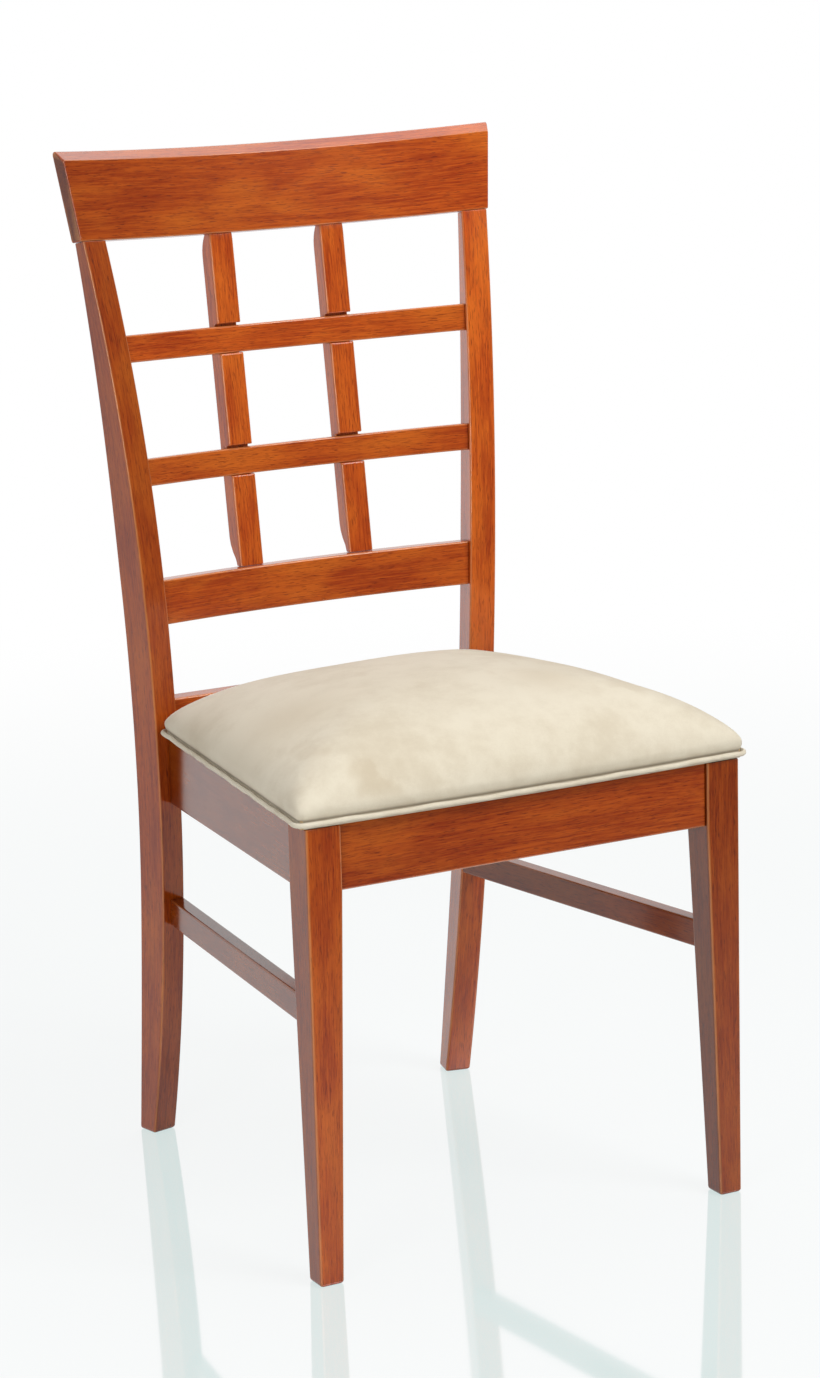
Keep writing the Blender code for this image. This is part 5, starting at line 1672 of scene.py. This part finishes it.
@dataclass(frozen=True)
class Viewpoint:
    """The photograph's camera, as its direction and distance from a point near the seat."""

    azimuth: float = math.radians(-28.19)
    elevation: float = math.radians(13.08)
    roll: float = math.radians(-1.564)
    distance: float = 3.479
    target: tuple = (0.021, 0.0, 0.4619)
    lens: float = 161.69
    sensor: float = 36.0

    def build(self) -> None:
        """Make the camera and use it for the scene."""
        out = Vector((math.sin(self.azimuth) * math.cos(self.elevation),
                      -math.cos(self.azimuth) * math.cos(self.elevation), math.sin(self.elevation)))
        level = Vector((math.cos(self.azimuth), math.sin(self.azimuth), 0.0))
        right = level * math.cos(self.roll) + out.cross(level) * math.sin(self.roll)
        data = bpy.data.cameras.new("photograph_view")
        data.sensor_fit = "HORIZONTAL"
        data.sensor_width = self.sensor
        data.lens = self.lens
        camera = bpy.data.objects.new("photograph_view", data)
        bpy.context.scene.collection.objects.link(camera)
        turn = Matrix((right, out.cross(right), out)).transposed().to_4x4()
        place = Vector(self.target) + Vector(STAND) + out * self.distance
        camera.matrix_world = Matrix.Translation(place) @ turn
        bpy.context.scene.camera = camera


@dataclass(frozen=True)
class Studio:
    """White floor with a faint mirror gloss, a white surround and soft lamps.

    In gloss the floor and walls in front are unlit, so that polished fronts mirror a dim room.
    """

    white: tuple = (1.0, 1.0, 1.0)
    near_white: tuple = (0.950, 0.966, 0.966)
    mirror: tuple = (0.30, 0.19, 0.20)
    mirror_roughness: float = 0.05
    floor_half: float = 12.0
    wall_height: float = 9.0
    near: float = 0.9
    far: float = 2.6
    floor_matt: tuple = (0.62, 0.63, 0.62)
    shadow_share: float = 0.10
    unlit: tuple = (0.14, 0.14, 0.14)
    unlit_from: tuple = (0.30, 1.5)
    surround: tuple = (1.0, 0.99, 0.97)
    surround_strength: float = 0.38
    aim: tuple = (0.0, 0.0, 0.45)
    lamps: tuple = (("key_lamp", (1.5, -2.7, 3.3), 1.8, 98.0), ("side_lamp", (-2.1, -1.5, 0.9), 0.9, 19.0),
                    ("top_lamp", (0.9, 0.5, 3.0), 2.2, 24.0))

    def build(self) -> None:
        """Make the floor, the world and the lamps."""
        bpy.context.scene.view_settings.view_transform = "Standard"
        self.floor()
        self.world()
        for name, place, size, power in self.lamps:
            self.lamp(name, place, size, power)

    def lamp(self, name: str, place: tuple, size: float, power: float) -> None:
        """Square soft lamp that points at the chair.

        Args:
            name: the lamp's name.
            place: where it hangs.
            size: length of its side, in metres.
            power: power in watts.
        """
        data = bpy.data.lights.new(name, "AREA")
        data.size = size
        data.energy = power
        lamp = bpy.data.objects.new(name, data)
        bpy.context.scene.collection.objects.link(lamp)
        turn = (Vector(self.aim) - Vector(place)).to_track_quat("-Z", "Y").to_matrix().to_4x4()
        lamp.matrix_world = Matrix.Translation(place) @ turn

    def floor(self) -> None:
        """Flat floor that looks white and holds the chair's shadow and mirror image, with two far walls."""
        half, high = self.floor_half, self.wall_height
        mesh = bpy.data.meshes.new("floor")
        mesh.from_pydata([(-half, -half, 0), (half, -half, 0), (half, half, 0), (-half, half, 0),
                          (-half, -half, high), (half, -half, high), (half, half, high)], [],
                         [(0, 1, 2, 3), (0, 4, 5, 1), (1, 5, 6, 2)])
        made, graph = material_graph("studio_floor")
        rest = tuple(white - share for white, share in zip(self.near_white, self.mirror))
        glow = graph.node("ShaderNodeEmission", {}, rest, 1.0)
        gloss = graph.node("ShaderNodeBsdfAnisotropic", {}, self.mirror, self.mirror_roughness)
        sheet = graph.node("ShaderNodeAddShader", {}, glow, gloss)
        shadow = graph.node("ShaderNodeBsdfDiffuse", {}, self.near_white)
        sheet = graph.node("ShaderNodeMixShader", {}, self.shadow_share, sheet, shadow)
        away = graph.node("ShaderNodeVectorMath", {"operation": "LENGTH"}, graph.object_place(), out=1)
        plain = graph.node("ShaderNodeEmission", {}, self.white, 1.0)
        sheet = graph.node("ShaderNodeMixShader", {}, away.ramp(self.near, self.far), sheet, plain)
        depth = graph.node("ShaderNodeSeparateXYZ", {}, graph.object_place(), out="Y")
        mirrored = graph.node("ShaderNodeLightPath", {}, out="Is Glossy Ray")
        unlit = graph.node("ShaderNodeEmission", {}, self.unlit, 1.0)
        front = mirrored * (depth * -1.0).ramp(*self.unlit_from)
        sheet = graph.node("ShaderNodeMixShader", {}, front, sheet, unlit)
        matt = graph.node("ShaderNodeBsdfDiffuse", {}, self.floor_matt)
        graph.surface(graph.node("ShaderNodeMixShader", {}, graph.seen_directly(), matt, sheet))
        mesh.materials.append(made)
        floor = bpy.data.objects.new("floor", mesh)
        bpy.context.scene.collection.objects.link(floor)

    def world(self) -> None:
        """Soft light from all round, which looks white itself."""
        world = bpy.data.worlds.new("studio")
        bpy.context.scene.world = world
        graph = Graph(world, "ShaderNodeOutputWorld")
        light = graph.node("ShaderNodeBackground", {}, self.surround, self.surround_strength)
        white = graph.node("ShaderNodeBackground", {}, self.white, 1.0)
        graph.surface(graph.node("ShaderNodeMixShader", {}, graph.seen_directly(), light, white))


def main() -> None:
    """Build the studio and dress the chair."""
    logging.basicConfig(level=logging.INFO, format="%(name)s: %(message)s")
    Viewpoint().build()
    Studio().build()
    wood = LacqueredWood().material()
    back = LatticeBack()
    back.build(wood)
    SeatFrame(back.posts).build(wood)
    foam = SoftFilling("foam", (0.80, 0.74, 0.50), (0.62, 0.55, 0.34), 700.0).material()
    SeatPad().build(Microsuede().material(), foam)
    HiddenPieces().dress()


if __name__ == "__main__":
    main()
